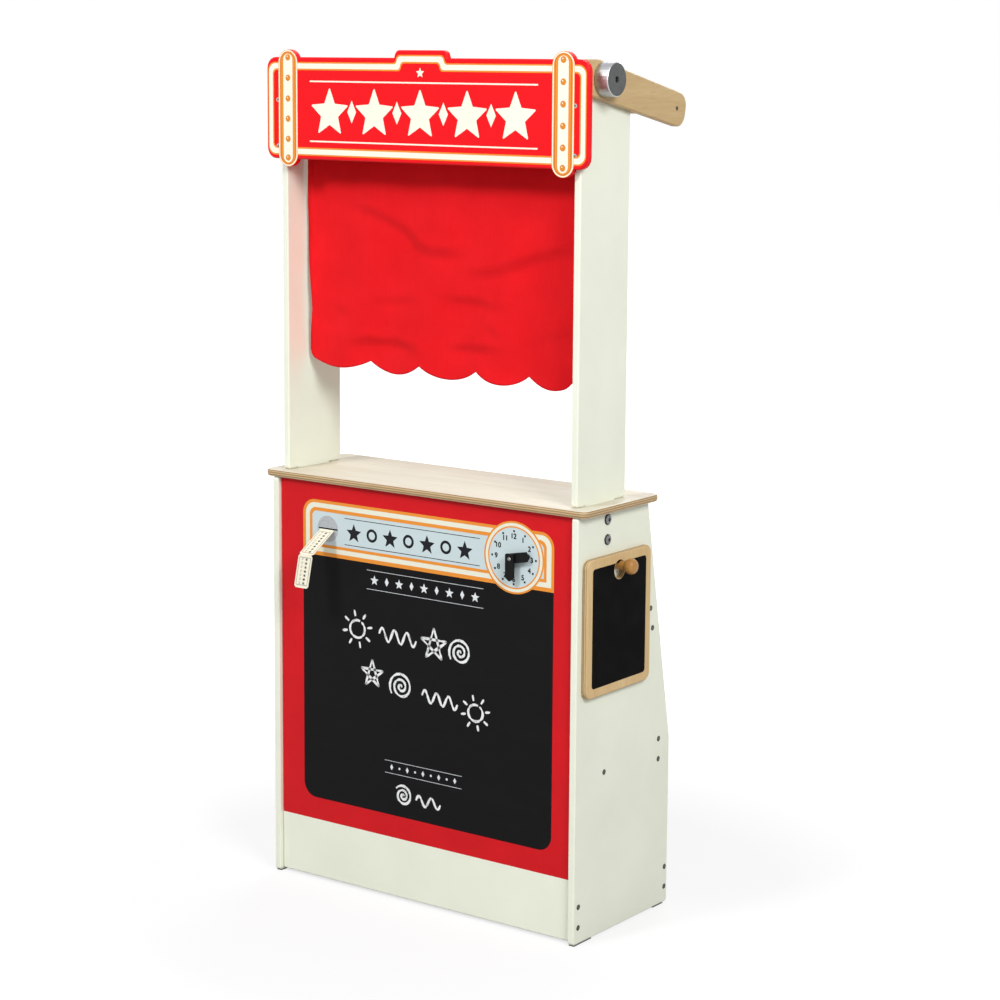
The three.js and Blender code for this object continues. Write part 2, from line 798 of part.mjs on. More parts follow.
const spacer = cut(rod(spacer_diameter, seat_gap, seat_gap + spacer_height, dowel_sides),
  [hole(pin_shank, -overrun, seat_gap + spacer_height + overrun, screw_sides)]);
add(upright_plane, 'clock_spacer', spacer, 'black', [clock_x, clock_z, 0]);
const hour_hand = add(upright_plane, 'hour_hand', clockHand(hour_hand_length), 'black',
  [clock_x, clock_z, hour_low]);
hour_hand.rotation.z = hour_hand_turn;
const minute_hand = add(upright_plane, 'minute_hand', clockHand(minute_hand_length), 'black',
  [clock_x, clock_z, minute_low]);
minute_hand.rotation.z = minute_hand_turn;
add(upright_plane, 'clock_pin', clockPin(), 'chrome', [clock_x, clock_z, 0]);

// Ticket box: a tray with an open top behind the slot, with a window in its front wall

function ticketBox() {
  const half = ticket_box_width / 2;
  const low = ticket_slot_z - ticket_box_below;
  const depth = ticket_box_depth;
  const inside = [ticket_box_width, ticket_box_height, depth].map((size) => size - 2 * ticket_box_wall);
  const outline = rectangle(-half, low, half, low + ticket_box_height);
  const hollow = new THREE.BoxGeometry(inside[0], ticket_box_height, inside[2])
    .translate(0, low + ticket_box_height / 2 + ticket_box_wall, -board - seat_gap - depth / 2);
  const window_low = ticket_slot_z - ticket_window_below;
  const window_cutter = new THREE.BoxGeometry(inside[0], ticket_box_height, 2 * ticket_box_wall)
    .translate(0, window_low + ticket_box_height / 2, -board - seat_gap);
  return cut(boardSolid(outline, -board - seat_gap - depth, depth, 0), [hollow, window_cutter]);
}

add(upright_plane, 'ticket_box', ticketBox(), 'plywood', [ticket_x, 0, 0]);

// The strip of tickets comes level through the slot and lies on its lower edge. In front it slopes down to
// a fold, and its tail bends down in the box. The side_plane sees it edge-on.
function ribbonOutline(points, thickness) {
  const line = points.map(([x, y]) => new THREE.Vector2(x, y));
  const offset = (i, side) => {
    const before = line[Math.max(i - 1, 0)];
    const after = line[Math.min(i + 1, line.length - 1)];
    const into = (i > 0 ? line[i].clone().sub(before) : after.clone().sub(line[i])).normalize();
    const out = (i < line.length - 1 ? after.clone().sub(line[i]) : into.clone()).normalize();
    const normal = new THREE.Vector2(-into.y - out.y, into.x + out.x).normalize();
    const reach = thickness / 2 / normal.dot(new THREE.Vector2(-into.y, into.x));
    return line[i].clone().addScaledVector(normal, side * reach);
  };
  const over = line.map((_, i) => offset(i, 1));
  const under = line.map((_, i) => offset(i, -1)).reverse();
  return new THREE.Shape([...over, ...under]);
}

const ticket_z = ticket_slot_z - ticket_slot_height / 2 + running_gap + ticket_thickness / 2;
const ticket_line = [
  [ticket_straight + ticket_tail_reach, ticket_z - ticket_tail_drop],
  [ticket_straight, ticket_z],
  [-running_gap, ticket_z],
  [-ticket_fold_reach, ticket_z - ticket_fold_drop],
  [-ticket_end_reach, ticket_z - ticket_end_drop],
];
const strip = boardSolid(ribbonOutline(ticket_line, ticket_thickness), -ticket_width / 2, ticket_width, 0);
add(side_plane, 'ticket_strip', strip, 'paper', [0, 0, ticket_x]);

// Slate, hung by a hole on a round peg in the right side panel

const slate_rear = slate_front + slate_depth;
const slate_outline = rectangle(slate_front, slate_bottom, slate_rear, slate_top, slate_corner);
const slate_low = side_outer + running_gap;
const slate_bore = rod(slate_hole / Math.cos(Math.PI / dowel_sides), side_outer - overrun,
  slate_low + slate_thickness + overrun, dowel_sides).translate(slate_hole_y, slate_hole_z, 0);
const slate = cut(boardSolid(slate_outline, slate_low, slate_thickness), [slate_bore]);
add(side_plane, 'slate_board', slate, 'slate');

function pegSolid() {
  const stem = peg_stem / 2;
  const head = peg_head / 2;
  const top = peg_reach + peg_head_length;
  const bend = peg_round * (1 - Math.SQRT1_2);
  const rounded_end = Array.from({ length: corner_steps + 1 }, (_, step) => {
    const angle = Math.PI / 2 * step / corner_steps;
    return [head - peg_end_round * (1 - Math.cos(angle)), top - peg_end_round * (1 - Math.sin(angle))];
  });
  return turned([[0, seat_gap - board / 2], [stem, seat_gap - board / 2], [stem, peg_reach],
    [head - peg_round, peg_reach], [head - bend, peg_reach + bend], [head, peg_reach + peg_round],
    ...rounded_end, [0, top],
  ], dowel_sides);
}

add(side_plane, 'slate_peg', pegSolid(), 'beech', [peg_y, peg_z, side_outer]);

// The origin goes to the middle of the footprint, on the floor.
const bounds = new THREE.Box3().setFromObject(stand, true);
const middle = bounds.getCenter(new THREE.Vector3());
stand.position.set(-middle.x, -middle.y, -bounds.min.z);

export default stand;
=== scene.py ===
"""Looks of the puppet theater stand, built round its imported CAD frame."""

import math
import random

import bmesh
import bpy
from mathutils import Matrix, Vector, geometry, noise


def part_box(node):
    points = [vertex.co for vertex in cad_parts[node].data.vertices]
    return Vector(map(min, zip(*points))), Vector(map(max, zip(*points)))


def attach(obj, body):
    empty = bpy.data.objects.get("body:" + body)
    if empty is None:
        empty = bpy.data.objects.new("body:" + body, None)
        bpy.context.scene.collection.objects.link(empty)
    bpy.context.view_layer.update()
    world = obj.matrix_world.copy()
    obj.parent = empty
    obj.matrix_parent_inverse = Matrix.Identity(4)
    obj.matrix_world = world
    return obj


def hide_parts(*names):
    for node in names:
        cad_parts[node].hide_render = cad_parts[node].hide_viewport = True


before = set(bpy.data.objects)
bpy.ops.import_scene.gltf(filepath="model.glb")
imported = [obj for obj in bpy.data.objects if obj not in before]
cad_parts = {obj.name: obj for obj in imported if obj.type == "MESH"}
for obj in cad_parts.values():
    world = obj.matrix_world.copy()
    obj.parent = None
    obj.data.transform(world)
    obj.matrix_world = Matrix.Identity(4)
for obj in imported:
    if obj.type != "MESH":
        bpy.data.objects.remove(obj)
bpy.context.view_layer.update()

MM = 0.001
PANEL_FOOT = 5.0
panel_lo, panel_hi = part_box("front_panel")
ORIGIN = Vector(((panel_lo.x + panel_hi.x) / 2, panel_lo.y, panel_lo.z - PANEL_FOOT * MM))


def at(x, y, z):
    """A point of the drawing as a point of the frame. The drawing is in millimetres, with y = 0 on the front
    panel's face and z = PANEL_FOOT at that panel's lower edge."""
    return ORIGIN + Vector((x, y, z)) * MM


def drawn(point):
    """A point of the frame as a point of the drawing."""
    return (point - ORIGIN) / MM


def srgb(red, green, blue):
    """A colour written as it is seen, 0 to 255, as the linear colour that shaders use."""
    parts = []
    for value in (red, green, blue):
        share = value / 255
        parts.append(share / 12.92 if share <= 0.04045 else ((share + 0.055) / 1.055) ** 2.4)
    return (*parts, 1.0)


# Materials. Patterns are laid out in the object's own coordinates, in metres.

class Surface:
    """A material with its principled shader and short calls for the nodes in front of it."""

    def __init__(self, name, colour, roughness, metallic=0.0, **highlight_and_shade_rings):
        self.material = bpy.data.materials.new(name)
        self.material.use_nodes = True
        self.tree = self.material.node_tree
        self.shader = self.tree.nodes["Principled BSDF"]
        self.shader.inputs["Base Color"].default_value = colour
        self.shader.inputs["Roughness"].default_value = roughness
        self.shader.inputs["Metallic"].default_value = metallic
        for socket, value in highlight_and_shade_rings.items():
            self.shader.inputs[socket.replace("_", " ")].default_value = value
        self.place = self.tree.nodes.new("ShaderNodeTexCoord").outputs["Object"]
        self.facing = self.place.node.outputs["Normal"]

    def node(self, kind, inputs=(), **settings):
        made = self.tree.nodes.new(kind)
        for setting, value in settings.items():
            setattr(made, setting, value)
        for socket, value in dict(inputs).items():
            if isinstance(value, bpy.types.NodeSocket):
                self.tree.links.new(value, made.inputs[socket])
            else:
                made.inputs[socket].default_value = value
        return made

    def stretched(self, scale, turn=(0, 0, 0)):
        made = self.node("ShaderNodeMapping", {"Vector": self.place, "Scale": scale, "Rotation": turn})
        return made.outputs["Vector"]

    def noise(self, scale, detail=3.0, roughness=0.55, vector=None, distortion=0.0):
        made = self.node("ShaderNodeTexNoise", {
            "Vector": vector or self.place, "Scale": scale, "Detail": detail, "Roughness": roughness,
            "Distortion": distortion,
        })
        return made.outputs["Fac"]

    def ramp(self, value, low, high, first, last, steps="LINEAR"):
        made = self.node("ShaderNodeMapRange", {
            "Value": value, "From Min": low, "From Max": high, "To Min": first, "To Max": last,
        }, interpolation_type=steps)
        return made.outputs["Result"]

    def math(self, operation, *values):
        return self.node("ShaderNodeMath", enumerate(values), operation=operation).outputs["Value"]

    def mix(self, share, first, second):
        return self.node("ShaderNodeMix", {0: share, 6: first, 7: second}, data_type="RGBA").outputs[2]

    def blotched(self, value, first, second, low=0.3, high=0.7):
        """The first colour where the value is low, turning into the second where it is high."""
        return self.mix(self.ramp(value, low, high, 0, 1), first, second)

    def axes(self, source=None):
        return self.node("ShaderNodeSeparateXYZ", {"Vector": source or self.place}).outputs

    def reach(self, first, second):
        """How far two coordinates lie from zero together."""
        squares = [self.math("MULTIPLY", value, value) for value in (first, second)]
        return self.math("SQRT", self.math("ADD", *squares))

    def colour(self, value):
        self.tree.links.new(value, self.shader.inputs["Base Color"])

    def rough(self, value):
        self.tree.links.new(value, self.shader.inputs["Roughness"])

    def uneven(self, scale, low, high, detail=3.0):
        """Roughness that wanders between two values."""
        self.rough(self.ramp(self.noise(scale, detail), 0.3, 0.7, low, high))

    def bump(self, height, distance, strength=1.0):
        made = self.node("ShaderNodeBump", {"Height": height, "Distance": distance, "Strength": strength})
        current = self.shader.inputs["Normal"]
        if current.is_linked:
            self.tree.links.new(current.links[0].from_socket, made.inputs["Normal"])
        self.tree.links.new(made.outputs["Normal"], current)


def scaled(colour, share):
    return (*(part * share for part in colour[:3]), 1.0)


def painted(name, colour, roughness=0.42, spread=0.04, peel=1.0, shine=0.3):
    """Sprayed lacquer: faint cloudiness, a fine orange peel and uneven gloss."""
    surface = Surface(name, colour, roughness, Specular_IOR_Level=shine)
    dark, light = scaled(colour, 1 - spread), scaled(colour, 1 + spread / 2)
    surface.colour(surface.blotched(surface.noise(9, 4), dark, light))
    surface.uneven(60, roughness - 0.06, roughness + 0.08)
    surface.bump(surface.noise(700, 2), 0.03 * MM * peel, 0.6)
    surface.bump(surface.noise(45, 2), 0.08 * MM * peel, 0.35)
    return surface


GRAIN_STRETCH = 0.06


def wooden(name, light, dark, grain, roughness=0.5, rings=7.0):
    """Clear-lacquered wood: broad figure, narrow fibres and short pores that run along the grain axis."""
    surface = Surface(name, light, roughness, Specular_IOR_Level=0.25)
    along = [1.0, 1.0, 1.0]
    along["xyz".index(grain)] = GRAIN_STRETCH
    lie = surface.stretched(along)
    figure = surface.noise(rings * 4, 4, 0.6, lie, 0.4)
    fibres = surface.noise(320, 3, 0.7, lie)
    pores = surface.noise(900, 2, 0.5, lie)
    tone = surface.blotched(figure, light, dark, high=0.72)
    tone = surface.mix(surface.ramp(fibres, 0.42, 0.75, 0, 0.45), tone, scaled(dark, 0.86))
    tone = surface.mix(surface.ramp(pores, 0.64, 0.74, 0, 0.35), tone, scaled(dark, 0.6))
    surface.colour(tone)
    surface.rough(surface.ramp(fibres, 0.3, 0.7, roughness - 0.07, roughness + 0.09))
    surface.bump(fibres, 0.08 * MM, 0.5)
    surface.tone, surface.fibres = tone, fibres
    return surface


PLY_DARK = srgb(150, 122, 84)
PLY_LIGHT = srgb(204, 178, 140)
PLY_FIBRE = srgb(164, 132, 88)


def ply_edges(surface, axis, sheets, low, high):
    """Shows a board's glued sheets on its edges, as stripes across the axis of its thickness."""
    index = "xyz".index(axis)
    height = surface.math("SUBTRACT", surface.axes()[index], low[index])
    level = surface.math("MULTIPLY", height, sheets / (high[index] - low[index]))
    wobble = surface.noise(60, 2, 0.5, surface.stretched((1, 1, 4)))
    level = surface.math("ADD", level, surface.ramp(wobble, 0.3, 0.7, -0.12, 0.12))
    stripe = surface.ramp(surface.math("PINGPONG", level, 1.0), 0.35, 0.65, 0, 1, "SMOOTHSTEP")
    end_grain = surface.mix(stripe, PLY_DARK, PLY_LIGHT)
    end_grain = surface.mix(surface.ramp(surface.fibres, 0.4, 0.7, 0, 0.5), end_grain, PLY_FIBRE)
    flat = surface.math("ABSOLUTE", surface.axes(surface.facing)[index])
    surface.colour(surface.blotched(flat, end_grain, surface.tone, 0.55, 0.8))


CREAM = srgb(237, 240, 223)
FRONT_RED = srgb(207, 24, 32)
BLACK = srgb(21, 20, 21)
CHALK = srgb(236, 238, 238)

cream_paint = painted("cream_paint", CREAM)
shelf_paint = painted("shelf_paint", CREAM, 0.5)

# The front panel is cream, with a red printed field on its front face
RED_PRINT_FOOT = 88.1
front_finish = painted("front_finish", CREAM, shine=0.12)
above_foot = front_finish.math("GREATER_THAN", front_finish.axes()[2], at(0, 0, RED_PRINT_FOOT).z)
faces_front = front_finish.math("LESS_THAN", front_finish.axes(front_finish.facing)[1], -0.5)
is_red = front_finish.math("MULTIPLY", above_foot, faces_front)
cream_tone = front_finish.shader.inputs["Base Color"].links[0].from_socket
red_cloud = front_finish.noise(14, 4)
red_tone = front_finish.blotched(red_cloud, scaled(FRONT_RED, 0.93), scaled(FRONT_RED, 1.05))
front_finish.colour(front_finish.mix(is_red, cream_tone, red_tone))

sign_finish = painted("sign_finish", srgb(238, 24, 32), 0.4, 0.05, shine=0.1)


def printed(name, colour, roughness=0.38, spread=0.04):
    return painted(name, colour, roughness, spread, peel=0.7, shine=0.15)


print_orange = printed("print_orange", srgb(232, 146, 56))
print_cream = printed("print_cream", srgb(247, 242, 224), 0.4, 0.03)
print_pale = printed("print_pale", srgb(232, 233, 214), 0.4, 0.03)
print_line = printed("print_line", srgb(196, 104, 44))
print_amber = printed("print_amber", srgb(222, 138, 50))
print_field = printed("print_field", srgb(201, 216, 219), 0.4, 0.03)
print_ink = printed("print_ink", srgb(20, 21, 26), 0.45)
print_light = printed("print_light", srgb(224, 229, 232), 0.5)

board = Surface("black_board", BLACK, 0.6, Specular_IOR_Level=0.06)
smudge = board.noise(12, 5, 0.62, board.stretched((1.0, 1.0, 2.2), (0, 0.5, 0)), 0.6)
dust = board.noise(900, 2)
board_tone = board.mix(board.ramp(smudge, 0.5, 0.85, 0, 0.5), BLACK, srgb(33, 32, 33))
board.colour(board.mix(board.ramp(dust, 0.6, 0.8, 0, 0.3), board_tone, srgb(44, 43, 44)))
board.rough(board.ramp(smudge, 0.3, 0.8, 0.5, 0.72))
board.bump(dust, 0.04 * MM, 0.6)

# Black paint of the slate; the same material is the painted shade at the ticket slot
slate_black_and_slot_shade = Surface("slate_black_and_slot_shade", srgb(14, 13, 13), 0.7, Specular_IOR_Level=0.03)
slate_wear = slate_black_and_slot_shade.noise(30, 4, 0.6)
slate_black_and_slot_shade.colour(slate_black_and_slot_shade.blotched(slate_wear, srgb(12, 11, 11), srgb(21, 20, 20), 0.4, 0.8))
slate_black_and_slot_shade.bump(slate_black_and_slot_shade.noise(900, 2), 0.04 * MM, 0.6)

chalk = Surface("chalk", CHALK, 0.95)
grit = chalk.noise(1300, 3, 0.7)
press = chalk.noise(70, 3, 0.6)
covered = chalk.math("ADD", chalk.math("MULTIPLY", grit, 0.8), chalk.math("MULTIPLY", press, 0.5))
chalk.colour(chalk.mix(chalk.ramp(covered, 0.46, 0.62, 0, 1, "SMOOTHSTEP"), srgb(92, 93, 95), CHALK))
chalk.bump(grit, 0.1 * MM, 0.8)

COUNTER_SHEETS = 7
SLATE_SHEETS = 5
slate_lo, slate_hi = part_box("slate_board")
counter_wood = wooden("counter_wood", srgb(219, 213, 197), srgb(204, 195, 173), "x", 0.45)
ply_edges(counter_wood, "z", COUNTER_SHEETS, *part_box("counter_top"))
slate_wood = wooden("slate_wood", srgb(220, 190, 140), srgb(205, 172, 120), "z", 0.48)
ply_edges(slate_wood, "x", SLATE_SHEETS, slate_lo, slate_hi)
arm_wood = wooden("arm_wood", srgb(206, 179, 134), srgb(189, 158, 111), "y", 0.48, rings=9)
rail_wood = wooden("rail_wood", srgb(222, 196, 154), srgb(204, 174, 126), "x", 0.5)
peg_wood = wooden("peg_wood", srgb(190, 140, 76), srgb(162, 110, 50), "x", 0.3)

plastic = Surface("black_plastic", srgb(19, 19, 20), 0.5, Specular_IOR_Level=0.1)
plastic.uneven(240, 0.42, 0.58)
plastic.bump(plastic.noise(1500, 2), 0.04 * MM, 0.7)

# The knobs: a turned rim, and a darker face, with a dimple of painted shade for the centre hole: a dark ring
# round a lighter middle
BRUSH_LINES = 26000
DIMPLE_SHADE_REACH = 4.1 * MM
DIMPLE_LIGHT = 1.2 * MM
knob_lo, knob_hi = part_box("knob_right")
knob_centre = (knob_lo + knob_hi) / 2
chrome = Surface("knob_metal", srgb(180, 182, 186), 0.4, 1.0)
_, knob_y, knob_z = chrome.axes()
knob_y = chrome.math("SUBTRACT", knob_y, knob_centre.y)
knob_z = chrome.math("SUBTRACT", knob_z, knob_centre.z)
knob_reach = chrome.reach(knob_y, knob_z)
brushed = chrome.math("SINE", chrome.math("MULTIPLY", knob_reach, BRUSH_LINES))
flat_face = chrome.math("ABSOLUTE", chrome.axes(chrome.facing)[0])
is_face = chrome.ramp(flat_face, 0.96, 0.985, 0, 1)
face_tone = chrome.blotched(chrome.noise(120), srgb(92, 93, 92), srgb(104, 106, 106))
side_tone = chrome.blotched(chrome.noise(30), srgb(166, 168, 172), srgb(192, 194, 198))
# Painted shade: the face is coloured dark within the dimple's reach, except in its lighter middle
in_dimple_shade = chrome.math("LESS_THAN", knob_reach, DIMPLE_SHADE_REACH)
in_light = chrome.math("LESS_THAN", knob_reach, DIMPLE_LIGHT)
dimple_shade_tone = chrome.mix(in_light, srgb(30, 29, 26), srgb(132, 130, 124))
face_tone = chrome.mix(in_dimple_shade, face_tone, dimple_shade_tone)
chrome.colour(chrome.mix(is_face, side_tone, face_tone))
chrome.rough(chrome.ramp(is_face, 0, 1, 0.4, 0.5))
chrome.bump(brushed, 0.01 * MM, 0.3)

dark_steel = Surface("dark_steel", srgb(48, 45, 33), 0.42, 0.4)
dark_steel.uneven(500, 0.3, 0.5)
dark_steel.colour(dark_steel.blotched(dark_steel.noise(220), srgb(40, 37, 25), srgb(66, 62, 44), 0.35))

# Painted highlight: the light metal of the rings laid on the dark side screws' heads
screw_highlight_steel = Surface("screw_highlight_steel", srgb(112, 111, 104), 0.4, 0.6, Specular_IOR_Level=0.3)
screw_highlight_steel.uneven(900, 0.3, 0.5, 2)

bolt_steel = Surface("bolt_steel", srgb(60, 60, 62), 0.36, 0.8)
# Painted highlight and shade: the bolt heads are coloured light where they face straight out and dark on
# their rounded rims
bolt_facing = bolt_steel.math("ABSOLUTE", bolt_steel.axes(bolt_steel.facing)[0])
bolt_highlight_tone = bolt_steel.blotched(bolt_facing, srgb(34, 34, 35), srgb(132, 134, 134), 0.82, 0.93)
bolt_wear = bolt_steel.ramp(bolt_steel.noise(420), 0.35, 0.7, 0, 0.5)
bolt_steel.colour(bolt_steel.mix(bolt_wear, bolt_highlight_tone, srgb(70, 71, 72)))
bolt_steel.uneven(500, 0.3, 0.5)

bright_steel = Surface("bright_steel", srgb(205, 205, 203), 0.28, 1.0)
bright_steel.uneven(600, 0.22, 0.42)
bright_steel.bump(bright_steel.noise(1800, 2), 0.03 * MM, 0.5)

pin_steel = Surface("pin_steel", srgb(120, 120, 118), 0.4, 1.0)
pin_steel.uneven(600, 0.32, 0.5)

pad_felt = Surface("pad_felt", srgb(112, 112, 106), 0.9, Specular_IOR_Level=0.1)
pad_felt.colour(pad_felt.blotched(pad_felt.noise(700), srgb(98, 98, 92), srgb(130, 130, 122)))
pad_felt.bump(pad_felt.noise(1500, 2), 0.1 * MM, 0.6)

paper = Surface("ticket_paper", srgb(240, 234, 213), 0.8, Specular_IOR_Level=0.1)
pulp = paper.noise(1600, 3, 0.7)
paper.colour(paper.blotched(pulp, srgb(242, 236, 216), srgb(224, 218, 196), 0.35))
paper.bump(pulp, 0.04 * MM, 0.5)

ticket_ink = Surface("ticket_ink", srgb(62, 72, 72), 0.7, Specular_IOR_Level=0.1)
ink_wear = ticket_ink.noise(1800, 2)
ticket_ink.colour(ticket_ink.blotched(ink_wear, srgb(52, 60, 62), srgb(104, 116, 110), 0.4, 0.65))

slot_grey = Surface("slot_grey", srgb(176, 180, 184), 0.5)
speckle = slot_grey.noise(1500, 2, 0.6)
slot_grey.colour(slot_grey.blotched(speckle, srgb(138, 142, 146), srgb(202, 206, 210), 0.35, 0.68))

THREAD_PITCH = 0.62 * MM
cloth = Surface("curtain_cloth", srgb(230, 24, 32), 0.85, Specular_IOR_Level=0.05, Sheen_Weight=0.08,
                Sheen_Roughness=0.5, Sheen_Tint=(1.0, 0.35, 0.35, 1.0))
cloth_x, _, cloth_z = cloth.axes()
warp, weft = (
    cloth.math("SINE", cloth.math("MULTIPLY", axis, 2 * math.pi / THREAD_PITCH))
    for axis in (cloth_x, cloth_z)
)
weave = cloth.math("MULTIPLY", warp, weft)
slub = cloth.noise(500, 2, 0.5, cloth.stretched((1, 1, 0.08)))
cloth_tone = cloth.blotched(cloth.noise(16, 4, 0.6), srgb(228, 24, 31), srgb(238, 29, 36))
cloth_tone = cloth.mix(cloth.ramp(slub, 0.5, 0.8, 0, 0.2), cloth_tone, srgb(208, 18, 26))
cloth.colour(cloth.mix(cloth.ramp(weave, -1, 1, 0.12, 0), cloth_tone, srgb(160, 12, 20)))
cloth.bump(weave, 0.12 * MM, 0.45)
cloth.bump(slub, 0.1 * MM, 0.3)

SIDE_SCREWS = ("upper_rail_screw", "middle_rail_screw", "kick_rail_screw", "front_panel_screw",
               "middle_shelf_screw", "awning_rail_screw")
FINISHES = (
    (cream_paint, "side_panel", "upright", "upper_rail", "middle_rail", "kick_rail"),
    (shelf_paint, "upper_shelf", "middle_shelf", "bottom_shelf"), (front_finish, "front_panel"),
    (sign_finish, "sign_board"), (counter_wood, "counter_top"), (arm_wood, "arm"),
    (rail_wood, "awning_rail", "curtain_rod"), (slate_wood, "slate_board"), (peg_wood, "slate_peg"),
    (plastic, "clock_spacer", "hour_hand", "minute_hand", "ticket_box"), (chrome, "knob"),
    (dark_steel, *SIDE_SCREWS), (bolt_steel, "upright_bolt"), (bright_steel, "sign_screw"),
    (pin_steel, "clock_pin"), (pad_felt, "glide"), (paper, "ticket_strip"), (cloth, "curtain"),
)
finish_of = {start: surface for surface, *starts in FINISHES for start in starts}
for node_name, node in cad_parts.items():
    longest = max((start for start in finish_of if node_name.startswith(start)), key=len)
    for material_slot in node.material_slots:
        material_slot.material = finish_of[longest].material


# Meshes

def piece_from(name, vertices, faces, surface, body, slot, smooth=False):
    """A closed mesh with its faces turned outwards, as a piece that rides on a body."""
    mesh = bpy.data.meshes.new(name)
    builder = bmesh.new()
    made = [builder.verts.new(vertex) for vertex in vertices]
    for face in faces:
        builder.faces.new([made[index] for index in face])
    bmesh.ops.recalc_face_normals(builder, faces=builder.faces)
    for face in builder.faces:
        face.smooth = smooth
    builder.to_mesh(mesh)
    builder.free()
    mesh.materials.append(surface.material)
    piece = bpy.data.objects.new(name, mesh)
    bpy.context.scene.collection.objects.link(piece)
    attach(piece, body)
    return piece


FILM_STEP = 0.016
FILM_BASE = 0.004


def film(name, place, shapes, level, surface, slot, body="stand"):
    """Thin printed areas. Each shape is a list of an outer loop and its holes, in millimetres on the face.
    place puts a drawing point and its height above the face into the frame, and level orders the films."""
    vertices, faces = [], []
    for loops in shapes:
        flat_loops = [[Vector((a, b, 0)) for a, b in loop] for loop in loops]
        flat = [point for loop in flat_loops for point in loop]
        base = len(vertices)
        count = len(flat)
        for height in (level * FILM_STEP, FILM_BASE):
            vertices += [place(point.x, point.y, height) for point in flat]
        for triangle in geometry.tessellate_polygon(flat_loops):
            faces.append([base + index for index in triangle])
            faces.append([base + count + index for index in reversed(triangle)])
        start = 0
        for loop in loops:
            size = len(loop)
            for index in range(size):
                first = base + start + index
                second = base + start + (index + 1) % size
                faces.append([first, second, second + count, first + count])
            start += size
    return piece_from(name, vertices, faces, surface, body, slot)


ARC_STEP = math.radians(9)


def rounded(corners):
    """A closed loop from (a, b, radius) corners."""
    points = []
    count = len(corners)
    for index, (a, b, radius) in enumerate(corners):
        if radius <= 0:
            points.append((a, b))
            continue
        here = Vector((a, b))
        before = (Vector(corners[index - 1][:2]) - here).normalized()
        after = (Vector(corners[(index + 1) % count][:2]) - here).normalized()
        angle = before.angle(after)
        tangent = radius / math.tan(angle / 2)
        centre = here + (before + after).normalized() * radius / math.sin(angle / 2)
        first = here + before * tangent - centre
        last = here + after * tangent - centre
        sweep = math.atan2(first.cross(last), first.dot(last))
        steps = max(2, math.ceil(abs(sweep) / ARC_STEP))
        for step in range(steps + 1):
            spoke = Matrix.Rotation(sweep * step / steps, 2) @ first
            points.append(tuple(centre + spoke))
    return points


def block(left, right, bottom, top, radii=0.0):
    """A rectangle's loop, with one radius, or with those of its top right, top left, bottom left and bottom
    right corners."""
    if not isinstance(radii, tuple):
        radii = (radii,) * 4
    corners = ((right, top), (left, top), (left, bottom), (right, bottom))
    return rounded([(a, b, radius) for (a, b), radius in zip(corners, radii)])


def disc(a, b, radius, sides=56):
    return [
        (a + radius * math.cos(2 * math.pi * side / sides), b + radius * math.sin(2 * math.pi * side / sides))
        for side in range(sides)
    ]


def star(a, b, radius, depth=0.46, rounding=0.0):
    """A star of five points, with inner corners at depth times its radius."""
    loop = []
    for index in range(10):
        angle = math.pi / 2 + math.pi * index / 5
        length = radius if index % 2 == 0 else radius * depth
        loop.append((a + length * math.cos(angle), b + length * math.sin(angle), rounding))
    return rounded(loop) if rounding else [(x, y) for x, y, _ in loop]


def diamond(a, b, half_width, half_height):
    return [(a + half_width, b), (a, b + half_height), (a - half_width, b), (a, b - half_height)]


def row(first, step, count):
    """Evenly spaced places, each with its number."""
    return [(index, first + index * step) for index in range(count)]


def on_front(face_y):
    return lambda a, b, height: at(a, face_y - height, b)


def on_side(face_x, side):
    return lambda a, b, height: at(face_x + side * height, a, b)


def between(first, second, share):
    return [tuple(p + (q - p) * share for p, q in zip(one, two)) for one, two in zip(first, second)]


SIDES = (("left", -1), ("right", 1))


# Sign board print: a double marquee border with a crest, two light columns, rules and a row of plain shapes

sign_face = on_front(drawn(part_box("sign_board")[0]).y)


def sign_film(name, shapes, level, surface):
    film(name, sign_face, shapes, level, surface, "sign_print")


CREST_FOOT = 5


def band(half, bottom, top, crest_half, crest_top, corner, crest_corner):
    """The corners of the border's outline, with its raised crest."""
    return [
        (half, top, corner), (crest_half, top, CREST_FOOT), (crest_half, crest_top, crest_corner),
        (-crest_half, crest_top, crest_corner), (-crest_half, top, CREST_FOOT), (-half, top, corner),
        (-half, bottom, corner), (half, bottom, corner),
    ]


BAND_OUTER = band(261.3, 1011.6, 1136.0, 40.2, 1146.4, 12, 7)
BAND_INNER = band(251.1, 1022.5, 1125.3, 31.7, 1135.5, 6, 6)
BAND_SHARES = (0, 0.17, 0.81, 1)
band_loops = [rounded(between(BAND_OUTER, BAND_INNER, share)) for share in BAND_SHARES]
sign_film("sign_band_edges", [[band_loops[0], band_loops[3]]], 1, print_orange)
sign_film("sign_band", [[band_loops[1], band_loops[2]]], 2, print_cream)

COLUMN_X = 226.0
COLUMN_TOP = 1152.5
COLUMN_BOTTOM = 996.0
# Rings of a light column, outermost first: half its width, inset at its ends, level, surface
COLUMN_RINGS = (
    ("edge", 16.9, 0.15, 3, print_orange), ("rim", 16.3, 0.7, 4, print_cream),
    ("trim", 14.5, 2.3, 5, print_orange), ("line", 12.9, 3.0, 6, print_line),
    ("frame", 12.0, 3.7, 7, print_orange), ("core", 8.0, 5.6, 8, print_cream),
)
BULBS = (1142.0, 1114.8, 1087.2, 1060.2, 1033.1, 1008.0)
END_FLAT = 0.05
BULB_RADIUS = 4.3
GLINT_RADIUS = 0.9
GLINT_X = -1.0
GLINT_Z = 1.3

